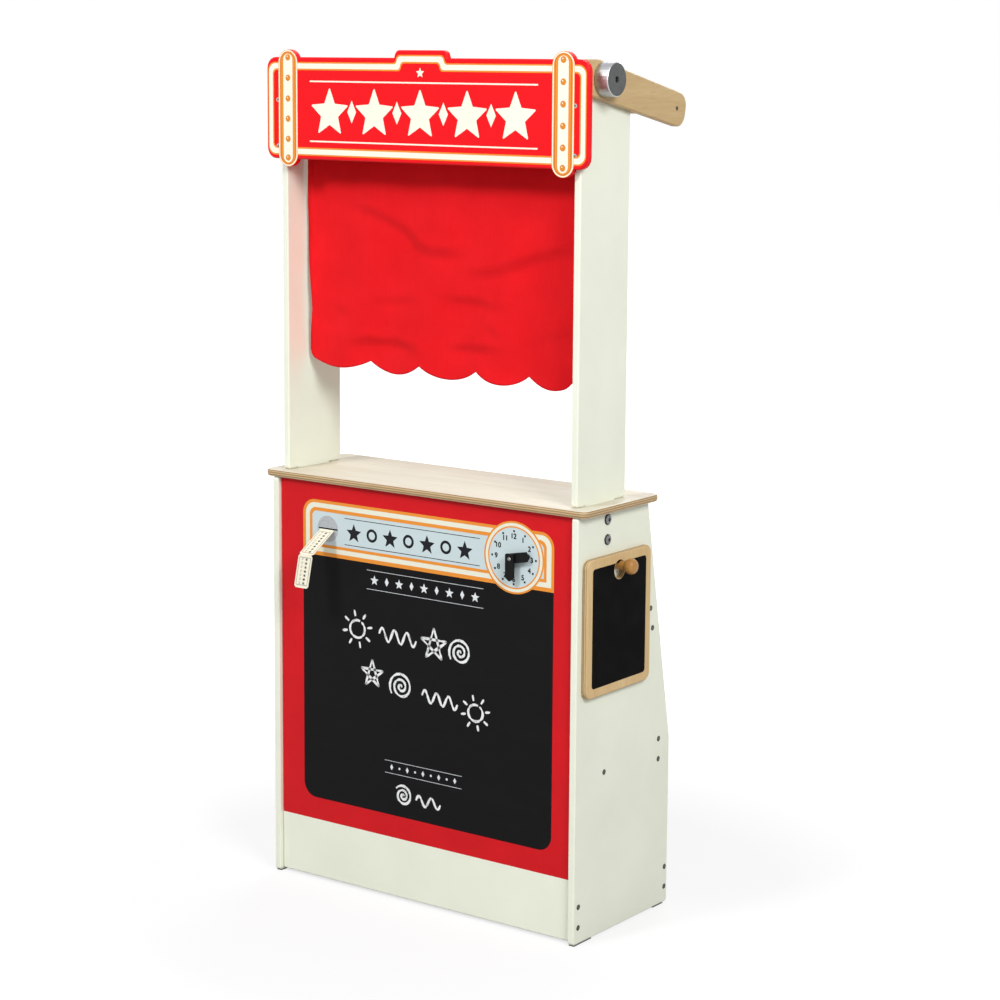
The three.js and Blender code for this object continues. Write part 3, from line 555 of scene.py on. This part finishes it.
for side_name, side in SIDES:
    centre = side * COLUMN_X
    for ring_name, half, inset, level, surface in COLUMN_RINGS:
        ends = (COLUMN_BOTTOM + inset, COLUMN_TOP - inset)
        column = block(centre - half, centre + half, *ends, half - END_FLAT)
        sign_film(f"sign_column_{ring_name}_{side_name}", [[column]], level, surface)
    bulbs = [[disc(centre, z, BULB_RADIUS, 32)] for z in BULBS]
    sign_film(f"sign_bulbs_{side_name}", bulbs, 9, print_amber)
    glints = [[disc(centre + GLINT_X, z + GLINT_Z, GLINT_RADIUS, 16)] for z in BULBS]
    sign_film(f"sign_bulb_lights_{side_name}", glints, 10, print_cream)

RULE_HALF = 187.5
sign_rules = [[block(-RULE_HALF, RULE_HALF, *ends)] for ends in ((1109.6, 1111.6), (1030.0, 1032.0))]
sign_film("sign_rules", sign_rules, 2, print_cream)

STAR_PITCH = 76.5
STAR_COUNT = 5
sign_motifs = []
for index, a in row(-2 * STAR_PITCH, STAR_PITCH, STAR_COUNT):
    sign_motifs.append([star(a, 1069.0, 34.5, 0.45, 1.2)])
    if index < STAR_COUNT - 1:
        sign_motifs.append([diamond(a + STAR_PITCH / 2, 1071, 7.5, 15)])
sign_film("sign_motifs", sign_motifs, 2, print_cream)
sign_film("sign_crest_star", [[star(0, 1123.4, 7.0)]], 2, print_cream)


# Front panel print: blackboard, header frame, plain shapes, ticket slot disc and clock dial

front_face = on_front(0.0)


def front_film(name, shapes, level, surface):
    film(name, front_face, shapes, level, surface, "front_print")


front_film("front_blackboard", [[block(-206.5, 216.3, 119.5, 470, (0, 0, 21, 21))]], 1, board)

# Fields of the header strip, outermost first: left, right, bottom and top, corner radius, level, surface
HEADER = (
    ("edge", (-206.5, 216.5, 465.2, 542.6), 20.5, 2, print_orange),
    ("band", (-201.6, 212.3, 470.6, 538.4), 16.0, 3, print_pale),
    ("trim", (-194.5, 204.8, 477.1, 531.9), 11.0, 4, print_orange),
    ("field", (-189.7, 200.6, 481.3, 527.1), 7.5, 5, print_field),
)
for part_name, sides, radius, level, surface in HEADER:
    field = block(*sides, (radius, radius, 0, 0))
    front_film(f"header_{part_name}", [[field]], level, surface)
header_rules = [[block(-132.3, 97.7, *ends)] for ends in ((521.4, 522.4), (485.0, 486.0))]
front_film("header_rules", header_rules, 6, print_ink)

header_motifs = []
for index, a in row(-116, 31.5, 7):
    ring = [disc(a, 503.2, 9.2, 40), disc(a, 503.2, 5.4, 40)]
    header_motifs.append(ring if index % 2 else [star(a, 502.4, 13.6, 0.44)])
front_film("header_motifs", header_motifs, 6, print_ink)

SLOT_X = -162.3
SLOT_Z = 503.8
slot_plate = [disc(SLOT_X, SLOT_Z, 18.2), block(-179.2, -146.4, 501.9, 505.1, 1.4)]
front_film("ticket_slot_plate", [slot_plate], 6, slot_grey)

CLOCK_X = 152.9
CLOCK_Z = 503.4
MARK_RING = 35.0
MARK_HALF = 1.4
NUMERAL_RING = 28.5
NUMERAL_HEIGHT = 6.7
NUMERAL_GROWTH = 0.44
HOLE_GROWTH = -0.34
CAPITAL_SHARE = 0.7
for part_name, radius, level, surface in (
    ("edge", 48.0, 6, print_orange), ("band", 45.5, 7, print_pale), ("trim", 41.5, 8, print_orange),
    ("face", 39.5, 9, print_field),
):
    front_film(f"clock_{part_name}", [[disc(CLOCK_X, CLOCK_Z, radius, 96)]], level, surface)


def dial_point(hour, radius):
    angle = math.pi * hour / 6
    return CLOCK_X + radius * math.sin(angle), CLOCK_Z + radius * math.cos(angle)


marks = []
for hour in range(12):
    a, b = dial_point(hour, MARK_RING)
    marks.append([block(a - MARK_HALF, a + MARK_HALF, b - MARK_HALF, b + MARK_HALF)])
front_film("clock_marks", marks, 10, print_ink)


def numeral(text, a, b):
    """The loops of one of the dial's plain numbers, with its middle at (a, b)."""
    curve = bpy.data.curves.new("numeral", "FONT")
    curve.body = text
    curve.size = NUMERAL_HEIGHT / CAPITAL_SHARE
    curve.align_x = "CENTER"
    curve.resolution_u = 3
    curve.fill_mode = "NONE"
    holder = bpy.data.objects.new("numeral", curve)
    mesh = bpy.data.meshes.new_from_object(holder)
    loops = edge_loops(mesh)
    bpy.data.objects.remove(holder)
    bpy.data.curves.remove(curve)
    bpy.data.meshes.remove(mesh)
    xs, ys = zip(*(point for loop in loops for point in loop))
    middle_x, middle_y = (min(xs) + max(xs)) / 2, (min(ys) + max(ys)) / 2
    return [[(a + x - middle_x, b + y - middle_y) for x, y in loop] for loop in loops]


def edge_loops(mesh):
    """The closed loops that a mesh's bare edges form."""
    links = {}
    for edge in mesh.edges:
        first, second = edge.vertices
        links.setdefault(first, []).append(second)
        links.setdefault(second, []).append(first)
    loops = []
    waiting = set(links)
    while waiting:
        loop = []
        ahead = [min(waiting)]
        while ahead:
            loop.append(ahead[0])
            waiting.discard(ahead[0])
            ahead = [v for v in links[ahead[0]] if v in waiting]
        loops.append([tuple(mesh.vertices[v].co[:2]) for v in loop])
    return loops


def area_of(loop):
    return sum(a[0] * b[1] - b[0] * a[1] for a, b in zip(loop, loop[1:] + loop[:1])) / 2


def inside(point, loop):
    """Whether a point lies within a loop."""
    x, y = point
    within = False
    for (ax, ay), (bx, by) in zip(loop, loop[1:] + loop[:1]):
        if (ay > y) != (by > y) and x < ax + (y - ay) * (bx - ax) / (by - ay):
            within = not within
    return within


def outers_with_holes(loops):
    """The loops sorted into shapes, each an outer loop and its holes."""
    shapes = []
    ordered = sorted(loops, key=lambda loop: -abs(area_of(loop)))
    for loop in ordered:
        for shape in shapes:
            if inside(loop[0], shape[0]):
                shape.append(loop)
                break
        else:
            shapes.append([loop])
    return shapes


def thickened(loop, amount):
    """The loop with every point moved outwards, or inwards for a negative amount."""
    turn = amount if area_of(loop) > 0 else -amount
    moved = []
    for before, here, after in zip(loop[-1:] + loop[:-1], loop, loop[1:] + loop[:1]):
        dx, dy = after[0] - before[0], after[1] - before[1]
        length = math.hypot(dx, dy) or 1.0
        moved.append((here[0] + turn * dy / length, here[1] - turn * dx / length))
    return moved


numerals = []
for hour in range(1, 13):
    loops = numeral(str(hour), *dial_point(hour, NUMERAL_RING))
    for outer, *holes in outers_with_holes(loops):
        grown_holes = (thickened(hole, HOLE_GROWTH) for hole in holes)
        numerals.append([thickened(outer, NUMERAL_GROWTH), *grown_holes])
front_film("clock_numerals", numerals, 10, print_ink)


# Blackboard's printed rules, with small plain shapes between them, and chalk drawings

front_film("blackboard_rules", [
    [block(-93.5, 103.9, 455.2, 455.8)], [block(-93.5, 103.9, 429.1, 429.7)],
    [block(-62, 69.7, 195.0, 195.6)], [block(-62, 69.7, 177.8, 178.4)],
], 2, print_light)
small_motifs = []
for index, a in row(-80, 21.3, 9):
    small_motifs.append([diamond(a, 442.6, 3.4, 6.0)] if index % 2 else [star(a, 442.2, 7.2, 0.44)])
for index, a in row(-50, 13.5, 9):
    small_motifs.append([disc(a, 186.8, 1.7, 20)] if index % 2 else [diamond(a, 186.8, 2.6, 4.2)])
front_film("blackboard_motifs", small_motifs, 2, print_light)

CHALK_WIDTH = 3.7
CHALK_WAVER = (0.84, 1.14)
CHALK_TAPER = (0.62, 0.9)
CHALK_RUN = 6
SEED_STEP = 31


def stroke_loop(points, seed):
    """The outline of a hand-drawn stroke through the points, with a width that wavers."""
    draw = random.Random(seed)
    path = [Vector(point) for point in points]
    left, right = [], []
    for index, point in enumerate(path):
        ahead = path[min(index + 1, len(path) - 1)]
        behind = path[max(index - 1, 0)]
        along = (ahead - behind).normalized()
        across = Vector((-along.y, along.x))
        end = min(index, len(path) - 1 - index)
        taper = CHALK_TAPER[end] if end < len(CHALK_TAPER) else 1.0
        half = CHALK_WIDTH / 2 * taper * draw.uniform(*CHALK_WAVER)
        left.append(tuple(point + across * half))
        right.append(tuple(point - across * half))
    return left + right[::-1]


def curve_points(function, steps):
    return [function(step / steps) for step in range(steps + 1)]


def around(a, b, radius, angle, squash=1.0):
    return a + radius * math.cos(angle), b + radius * squash * math.sin(angle)


def chalk_star(a, b, radius):
    """Five crossing lines from corner to corner of a star."""
    turns = [4 * math.pi * k / 5 for k in range(6)]
    corners = [(a + radius * math.sin(turn), b + radius * math.cos(turn)) for turn in turns]
    lines = []
    for (ax, ay), (bx, by) in zip(corners, corners[1:]):
        lines.append(curve_points(lambda t: (ax + (bx - ax) * t, ay + (by - ay) * t), 8))
    return lines


def chalk_wave(left, right, b, height, waves, slope=0.0):
    width = right - left
    return [curve_points(lambda t: (
        left + width * t, b + slope * width * t + height * math.sin(2 * math.pi * waves * t),
    ), waves * 14)]


def chalk_spiral(a, b, radius, turns):
    return [curve_points(lambda t: around(a, b, radius * t, 2 * math.pi * turns * t), int(turns * 18))]


def chalk_sun(a, b, radius):
    """A ring that doesn't quite close, with eight rays."""
    lines = [curve_points(lambda t: around(a, b, radius * 0.5, 2 * math.pi * t * 0.97 + 1.2, 0.94), 26)]
    for ray in range(8):
        angle = math.pi * ray / 4 + 0.2
        lines.append(curve_points(lambda t: around(a, b, radius * (0.68 + 0.34 * t), angle), 4))
    return lines


chalk_lines = [
    *chalk_sun(-110, 371, 26), *chalk_wave(-72, -8, 370, 9, 3, -0.02), *chalk_star(22, 368, 23),
    *chalk_spiral(66, 364, 19, 2.6),
    *chalk_star(-84, 312, 20), *chalk_spiral(-34, 302, 20, 2.6), *chalk_wave(2, 62, 296, 8, 3, -0.06),
    *chalk_sun(92, 286, 24),
    *chalk_spiral(-30, 150, 15, 2.4), *chalk_wave(-8, 34, 148, 7, 2, 0.02),
]
chalk_shapes = []
for number, line in enumerate(chalk_lines):
    for start in range(0, len(line) - 1, CHALK_RUN):
        part = line[start:start + CHALK_RUN + 1]
        chalk_shapes.append([stroke_loop(part, number * SEED_STEP + start)])
front_film("chalk_drawings", chalk_shapes, 2, chalk)


# Slate: black paint inside a bare wooden margin

SLATE_MARGIN = 12.5
SLATE_CORNER = 5
HOLE_Y = 78.7
HOLE_Z = 489.7
HOLE_REACH = 12.9
_, slate_near, slate_low = drawn(slate_lo)
slate_face_x, slate_far, slate_high = drawn(slate_hi)
slate_paint = block(slate_near + SLATE_MARGIN, slate_far - SLATE_MARGIN, slate_low + SLATE_MARGIN,
                    slate_high - SLATE_MARGIN, SLATE_CORNER)
film("slate_paint", on_side(slate_face_x, 1), [[slate_paint, disc(HOLE_Y, HOLE_Z, HOLE_REACH, 48)]], 3,
     slate_black_and_slot_shade, "slate_paint", "slate")


# Screw heads: a ring in the middle of each, a painted highlight on the dark side screws, painted socket shade
# on the bright sign ones

def heads_of(prefixes, ending=""):
    """The drawing's boxes of the screws whose names start with a prefix and end so."""
    names = sorted(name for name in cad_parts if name.startswith(prefixes) and name.endswith(ending))
    return [tuple(drawn(corner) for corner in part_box(name)) for name in names]


def socket_ring(a, b, outer, inner):
    return [disc(a, b, outer, 12), disc(a, b, inner, 6)]


for side_name, side in SIDES:
    heads = heads_of(SIDE_SCREWS, side_name)
    face_x = heads[0][1].x if side > 0 else heads[0][0].x
    highlight_and_shade_rings = [socket_ring((low.y + high.y) / 2, (low.z + high.z) / 2, 1.5, 0.8) for low, high in heads]
    film(f"side_screw_highlights_{side_name}", on_side(face_x, side), highlight_and_shade_rings, 2, screw_highlight_steel, "dark_steel")
# Painted shade: the dark rings on the sign screws stand for the shade in their sockets
heads = heads_of("sign_screw")
highlight_and_shade_rings = [socket_ring((low.x + high.x) / 2, (low.z + high.z) / 2, 1.6, 0.7) for low, high in heads]
film("sign_screw_socket_shade", sign_face, highlight_and_shade_rings, 4, dark_steel, "dark_steel")


# Ticket strip: two tickets with cut corners, a folded tail in the box, and plain printed marks

ticket_lo, ticket_hi = (drawn(corner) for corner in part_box("ticket_strip"))
TICKET_X = (ticket_lo.x + ticket_hi.x) / 2
TICKET_HALF = (ticket_hi.x - ticket_lo.x) / 2
TICKET_CAD_THICKNESS = 0.8
TICKET_THICKNESS = 0.5
TICKET_LEVEL = ticket_hi.z - TICKET_CAD_THICKNESS / 2
TICKET_BENDS = ((-44.0, -20.0), (-36.0, 0.0), (0.3, 0.0), (45.7, -27.9), (56.0, -72.0))
TICKET_CUT = 2.6
SAME_RUN = 1e-6
bends = [Vector(bend) for bend in TICKET_BENDS]
runs = [0.0]
for first, second in zip(bends, bends[1:]):
    runs.append(runs[-1] + (second - first).length)
slot_run, fold_run, end_run = runs[2:]


def ticket_point(across, run, height):
    """A point at a height over the strip's middle, at a run from the end of its tail."""
    leg = next(i for i in range(len(bends) - 1) if run <= runs[i + 1] + SAME_RUN)
    ahead = (bends[leg + 1] - bends[leg]).normalized()
    out = Vector((-ahead.y, ahead.x))
    for bend, other in ((leg, leg - 1), (leg + 1, leg + 1)):
        if abs(run - runs[bend]) < SAME_RUN and 0 <= other < len(bends) - 1:
            turned = (bends[other + 1] - bends[other]).normalized()
            mid = (out + Vector((-turned.y, turned.x))).normalized()
            out = mid / mid.dot(out)
    spot = bends[leg] + ahead * (run - runs[leg]) + out * height
    return at(TICKET_X + across, -spot.x, TICKET_LEVEL + spot.y)


def ticket_half(run):
    """Half the strip's width, which narrows at the cut corners beside the fold and at the end."""
    cut = max(0.0, TICKET_CUT - abs(run - fold_run), TICKET_CUT - (end_run - run))
    return TICKET_HALF - cut


ticket_rows = sorted({
    *runs, *(fold_run + TICKET_CUT * share for share in (-1, -0.5, 0.5, 1)), end_run - TICKET_CUT,
    *(slot_run + (fold_run - slot_run) * share for share in (0.1, 0.3, 0.5, 0.7)),
})
ticket_vertices, ticket_faces = [], []
for run in ticket_rows:
    for height in (TICKET_THICKNESS / 2, -TICKET_THICKNESS / 2):
        ticket_vertices += [ticket_point(side * ticket_half(run), run, height) for side in (-1, 1)]
for a in range(0, 4 * (len(ticket_rows) - 1), 4):
    ticket_faces += [
        [a, a + 1, a + 5, a + 4], [a + 2, a + 6, a + 7, a + 3],
        [a, a + 4, a + 6, a + 2], [a + 1, a + 3, a + 7, a + 5],
    ]
last = (len(ticket_rows) - 1) * 4
ticket_faces += [[0, 2, 3, 1], [last, last + 1, last + 3, last + 2]]
tickets = piece_from("ticket_paper_strip", ticket_vertices, ticket_faces, paper, "tickets", "ticket_paper")
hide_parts("ticket_strip")

# Marks on each ticket: a frame, a column of small shapes, and short lines beside them
FRAME_MARGIN = 2.2
FRAME_WIDTH = 0.6
FRAME_START = 5.0
FRAME_END = 3.6
MARK_PITCH = 5.2
MARK_X = 3.0
FRAMES = ((slot_run + FRAME_START, fold_run - FRAME_END), (fold_run + FRAME_END, end_run - FRAME_END))
ticket_marks = []
for low, high in FRAMES:
    half = TICKET_HALF - FRAME_MARGIN
    frame_hole = block(FRAME_WIDTH - half, half - FRAME_WIDTH, low + FRAME_WIDTH, high - FRAME_WIDTH, 1.0)
    ticket_marks.append([block(-half, half, low, high, 1.5), frame_hole])
    count = int((high - low) / MARK_PITCH)
    for index in range(count):
        run = low + (high - low) * (index + 0.5) / count
        ticket_marks.append([diamond(MARK_X, run, 2.6, 1.9)] if index % 2 else [star(MARK_X, run, 2.7, 0.42)])
        ticket_marks.append([block(-5.4, -2.2, run - 1.5, run - 0.9)])
        ticket_marks.append([block(-5.4, -3.2, run + 0.5, run + 1.1)])
film("ticket_marks", lambda a, b, height: ticket_point(a, b, TICKET_THICKNESS / 2 + height), ticket_marks, 2,
     ticket_ink, "ticket_paper", "tickets")

# Painted shade: a thin black film across the slot's upper edge, where the lip shades the strip
film("ticket_slot_shade", front_face, [[block(-178.4, -144.8, TICKET_LEVEL + 0.3, TICKET_LEVEL + 2.3)]], 11,
     slate_black_and_slot_shade, "black_plastic")


# Curtain: one hemmed sheet, sewn round the rod, with a scalloped edge, soft folds and creases

CURTAIN_HALF = 232.3
ROD_Y = 45.0
ROD_Z = 1085.0
HEM_MARKS = (-232.3, -124.5, -36.5, 56.0, 142.0, 232.3)
FIRST_SCALLOP = 0.85
CORNER_LEFT = 10.0
CORNER_RIGHT = 26.0
HEM_CUSP = 734.0
SCALLOP_DEPTH = 15.0
SLEEVE_RADIUS = 8.2
SLEEVE_STEPS = 20
SLEEVE_GAP = 0.2
CLOTH_HALF = 0.75
SEAM_DROP = 13.0
SEAM_BACK = 1.7
SEAM_STEPS = 3
COLUMNS_ACROSS = 190
ROWS_DOWN = 160
FOLD_PITCH = 118.0
FOLD_DEPTH = 3.0
FOLD_SLANT = 0.6
BROAD_WAVE = 4.0
SMALL_WAVE = 1.3
FINE_WAVE = 0.4
SIDE_HEM = 10.0
SIDE_HEM_HEIGHT = 0.5

# Creases of the hanging cloth: the step's height, half its width, the bulge's reach, and the line.
# A crease fades out over its last CREASE_END, and is left out beyond CREASE_FAR times its reach.
CREASE_END = 52.0
CREASE_FAR = 3
CREASES = (
    (6.4, 12.0, 40, ((-170, 950), (-145, 943), (-120, 938), (-90, 927), (-60, 913), (-48, 902), (-38, 893),
                     (-15, 888), (22, 889), (52, 893))),
    (6.4, 12.0, 36, ((28, 861), (60, 864), (90, 868), (110, 874), (150, 889), (175, 896), (212, 903),
                     (232, 906))),
    (4.0, 9.0, 26, ((-12, 826), (55, 828), (80, 822), (114, 819))),
    (2.8, 9.0, 24, ((-140, 813), (-60, 822), (-20, 826))),
    (6.0, 10.0, 34, ((-178, 751), (-150, 759), (-130, 762), (-75, 763), (-50, 757), (-26, 741))),
    (4.4, 9.0, 24, ((-14, 763), (75, 765), (112, 768))),
    (3.6, 10.0, 26, ((52, 804), (90, 786), (114, 769))),
    (2.6, 10.0, 26, ((-218, 814), (-185, 804), (-138, 783))),
    (3.8, 11.0, 30, ((138, 777), (180, 790), (230, 806))),
)


def hem_z(x):
    """The height of the scalloped edge at a place along the rod."""
    marks = zip(HEM_MARKS, HEM_MARKS[1:])
    left, right = next(pair for pair in marks if x <= pair[1] or pair[1] == HEM_MARKS[-1])
    half = (right - left) / 2
    from_middle = abs(x - (left + right) / 2)
    radius = (half * half + SCALLOP_DEPTH * SCALLOP_DEPTH) / (2 * SCALLOP_DEPTH)
    dip = math.sqrt(max(0.0, radius * radius - from_middle * from_middle)) - (radius - SCALLOP_DEPTH)
    share = FIRST_SCALLOP if x < HEM_MARKS[1] else 1.0
    return HEM_CUSP - max(0.0, dip) * share + corner_rise(x)


def corner_rise(x):
    """How much higher the edge lies where the cloth's lower corners are rounded."""
    corner = CORNER_LEFT if x < 0 else CORNER_RIGHT
    into = max(0.0, abs(x) - (CURTAIN_HALF - corner))
    return corner - math.sqrt(max(0.0, corner * corner - into * into))


def eased(value):
    value = min(1.0, max(0.0, value))
    return value * value * (3 - 2 * value)


def crease_relief(x, z):
    """The steps that the creases leave in the cloth: it bulges above each line and lies back below it."""
    total = 0.0
    for height, half, reach, line in CREASES:
        margin = CREASE_FAR * reach
        if not min(p[1] for p in line) - margin < z < max(p[1] for p in line) + margin:
            continue
        best, above, run, full = math.inf, 0.0, 0.0, 0.0
        for (ax, az), (bx, bz) in zip(line, line[1:]):
            dx, dz = bx - ax, bz - az
            length = math.hypot(dx, dz)
            share = min(1.0, max(0.0, ((x - ax) * dx + (z - az) * dz) / (length * length)))
            gap = math.hypot(x - ax - dx * share, z - az - dz * share)
            if gap < best:
                best = gap
                above = math.copysign(gap, dx * (z - az) - dz * (x - ax))
                run = full + length * share
            full += length
        fade = eased(min(run, full - run) / CREASE_END)
        step = eased(above / (2 * half) + 0.5) - 0.5
        total += height * step * math.exp(-best / reach) * fade
    return total


def cloth_relief(x, share):
    """How far the hanging cloth stands in front of the rod's plane, at a share of its drop."""
    turn = 2 * math.pi * (x / FOLD_PITCH + FOLD_SLANT * share)
    relief = FOLD_DEPTH * share * math.sin(turn)
    broad = noise.noise(Vector((x / 150, share * 2.2, 3.7))) * BROAD_WAVE
    small = noise.noise(Vector((x / 95 + share * 1.4, share * 7.5 - x / 260, 9.1))) * SMALL_WAVE
    fine = noise.noise(Vector((x / 34, share * 15, 1.3))) * FINE_WAVE
    calm = min(1.0, share * 3.2)
    hem = SIDE_HEM_HEIGHT * eased((abs(x) - (CURTAIN_HALF - SIDE_HEM)) / 1.5)
    return relief + (broad * share + small + fine) * calm + hem


def cloth_path(x):
    """Points (y, z) of the cloth's middle from its sewn edge, round the rod, and down to the hem."""
    points = []
    for step in range(SEAM_STEPS):
        rise = (SEAM_DROP - SLEEVE_RADIUS) * step / SEAM_STEPS
        points.append((ROD_Y + SEAM_BACK, ROD_Z - SEAM_DROP + rise))
    for step in range(SLEEVE_STEPS + 1):
        angle = -math.pi / 2 + SLEEVE_GAP + (2 * math.pi - SLEEVE_GAP) * step / SLEEVE_STEPS
        points.append((ROD_Y + SLEEVE_RADIUS * math.cos(angle), ROD_Z + SLEEVE_RADIUS * math.sin(angle)))
    top = ROD_Z - SLEEVE_RADIUS
    bottom = hem_z(x)
    for down in range(1, ROWS_DOWN + 1):
        share = down / ROWS_DOWN
        z = top + (bottom - top) * share
        points.append((ROD_Y - cloth_relief(x, share) - crease_relief(x, z), z))
    return points


LEFT_PULL = 5.5
LEFT_PULL_Z = 805
RIGHT_LEAN = 15.0
RIGHT_LEAN_Z = 790


def drawn_in(x, z):
    """The left edge is pulled in a little above its lower corner, and the right corner hangs inwards."""
    left = LEFT_PULL * math.exp(-((z - LEFT_PULL_Z) / 50) ** 2) * math.exp(-(x + CURTAIN_HALF) / 45)
    right = RIGHT_LEAN * eased((RIGHT_LEAN_Z - z) / 75) * math.exp(-(CURTAIN_HALF - x) / 50)
    return x + left - right


def curtain_mesh():
    """The sheet's vertices and faces: a front and a back layer, joined round their rim."""
    columns = [-CURTAIN_HALF + 2 * CURTAIN_HALF * i / COLUMNS_ACROSS for i in range(COLUMNS_ACROSS + 1)]
    grid = [[at(drawn_in(x, z), y, z) for y, z in cloth_path(x)] for x in columns]
    wide, deep = len(grid), len(grid[0])
    front, back = [], []
    for i in range(wide):
        for j in range(deep):
            across = grid[min(i + 1, wide - 1)][j] - grid[max(i - 1, 0)][j]
            down = grid[i][min(j + 1, deep - 1)] - grid[i][max(j - 1, 0)]
            normal = across.cross(down).normalized()
            offset = normal * CLOTH_HALF * MM
            front.append(grid[i][j] + offset)
            back.append(grid[i][j] - offset)
    vertices = front + back
    count = wide * deep
    faces = []
    for i in range(wide - 1):
        for j in range(deep - 1):
            corner = i * deep + j
            face = [corner, corner + deep, corner + deep + 1, corner + 1]
            faces += [face, [count + index for index in reversed(face)]]
    rim = [i * deep for i in range(wide)] + [(wide - 1) * deep + j for j in range(1, deep)]
    rim += [i * deep + deep - 1 for i in range(wide - 2, -1, -1)] + list(range(deep - 2, 0, -1))
    for first, second in zip(rim, rim[1:] + rim[:1]):
        faces.append([first, second, second + count, first + count])
    return vertices, faces


curtain = piece_from("curtain_drape", *curtain_mesh(), cloth, "curtain_cloth", "cloth", smooth=True)
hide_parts("curtain")


# Camera, lamps and floor

def plain_camera(position, yaw, pitch, roll, focal, shift):
    """The photograph's camera: angles in degrees, focal length and shift in shares of the frame."""
    a, e, r = (math.radians(angle) for angle in (yaw, pitch, roll))
    forward = Vector((-math.sin(a) * math.cos(e), math.cos(a) * math.cos(e), -math.sin(e)))
    right = Vector((math.cos(a), math.sin(a), 0))
    up = right.cross(forward)
    level_right = right * math.cos(r) + up * math.sin(r)
    level_up = up * math.cos(r) - right * math.sin(r)
    data = bpy.data.cameras.new("camera")
    data.sensor_width = 36.0
    data.lens = focal * data.sensor_width
    data.shift_y = shift
    data.clip_start = 0.05
    data.clip_end = 60
    holder = bpy.data.objects.new("camera", data)
    bpy.context.scene.collection.objects.link(holder)
    turn = Matrix((level_right, level_up, -forward)).transposed().to_4x4()
    holder.matrix_world = Matrix.Translation(position) @ turn
    bpy.context.scene.camera = holder


CAMERA_PLACE = at(1997.79, -2546.76, 1146.6)
plain_camera(CAMERA_PLACE, yaw=36.2695, pitch=8.6079, roll=0.3918, focal=2.47484, shift=-0.07)


def soft_lamp(name, position, target, size, watts):
    data = bpy.data.lights.new(name, "AREA")
    data.shape = "SQUARE"
    data.size = size
    data.energy = watts
    lamp = bpy.data.objects.new(name, data)
    lamp.location = position
    lamp.rotation_mode = "QUATERNION"
    lamp.rotation_quaternion = (Vector(target) - Vector(position)).to_track_quat("-Z", "Y")
    bpy.context.scene.collection.objects.link(lamp)


soft_lamp("key_lamp", (-0.9, -3.3, 3.4), (0, 0, 0.7), size=0.85, watts=93)
soft_lamp("side_lamp", (2.7, -1.45, 2.5), (0, 0, 0.9), size=1.1, watts=74)
soft_lamp("back_lamp", (-1.2, 3.4, 2.8), (0, 0, 0.6), size=1.8, watts=48)

WHITE = (1, 1, 1, 1)
WORLD_LIGHT = 0.5
FLOOR_TONE = (0.38, 0.38, 0.38, 1)
FLOOR_GLOW = 1.82
GLOW_REACH = (0.45, 1.3)
GLOW_SHARE = (0.4, 0.62)
FLOOR_HALF = 14.0
FLOOR_Z = -0.2 * MM


def rays(tree, *kinds):
    """The share that is 1 for any of these kinds of ray, and 0 for the others."""
    path = tree.nodes.new("ShaderNodeLightPath")
    share = path.outputs[kinds[0]]
    for kind in kinds[1:]:
        either = tree.nodes.new("ShaderNodeMath")
        either.operation = "MAXIMUM"
        tree.links.new(share, either.inputs[0])
        tree.links.new(path.outputs[kind], either.inputs[1])
        share = either.outputs[0]
    return share


# The world lights the object at WORLD_LIGHT and is white where it is seen
world = bpy.data.worlds.new("studio")
bpy.context.scene.world = world
world.use_nodes = True
tree = world.node_tree
background = tree.nodes["Background"]
background.inputs["Color"].default_value = WHITE
strength = tree.nodes.new("ShaderNodeMapRange")
strength.inputs["To Min"].default_value = WORLD_LIGHT
strength.inputs["To Max"].default_value = 1.0
tree.links.new(rays(tree, "Is Camera Ray", "Is Glossy Ray", "Is Transmission Ray"), strength.inputs["Value"])
tree.links.new(strength.outputs["Result"], background.inputs["Strength"])

# The floor is pale grey, and where it is seen it also glows, more so away from the object
floor_finish = Surface("studio_floor", FLOOR_TONE, 0.8, Specular_IOR_Level=0.0)
glow = floor_finish.node("ShaderNodeEmission", {"Color": WHITE, "Strength": FLOOR_GLOW})
floor_x, floor_y, _ = floor_finish.axes()
away = floor_finish.ramp(floor_finish.reach(floor_x, floor_y), *GLOW_REACH, *GLOW_SHARE)
is_seen = rays(floor_finish.tree, "Is Camera Ray", "Is Glossy Ray")
floor_share = floor_finish.math("MULTIPLY", is_seen, away)
glowing = floor_finish.node(
    "ShaderNodeMixShader", {0: floor_share, 1: floor_finish.shader.outputs[0], 2: glow.outputs[0]})
output = next(n for n in floor_finish.tree.nodes if n.type == "OUTPUT_MATERIAL")
floor_finish.tree.links.new(glowing.outputs[0], output.inputs["Surface"])
floor_mesh = bpy.data.meshes.new("studio_floor")
floor_corners = [(a * FLOOR_HALF, b * FLOOR_HALF, FLOOR_Z) for a, b in ((-1, -1), (1, -1), (1, 1), (-1, 1))]
floor_mesh.from_pydata(floor_corners, [], [(0, 1, 2, 3)])
floor_mesh.materials.append(floor_finish.material)
floor = bpy.data.objects.new("studio_floor", floor_mesh)
bpy.context.scene.collection.objects.link(floor)

bpy.context.scene.view_settings.view_transform = "Standard"
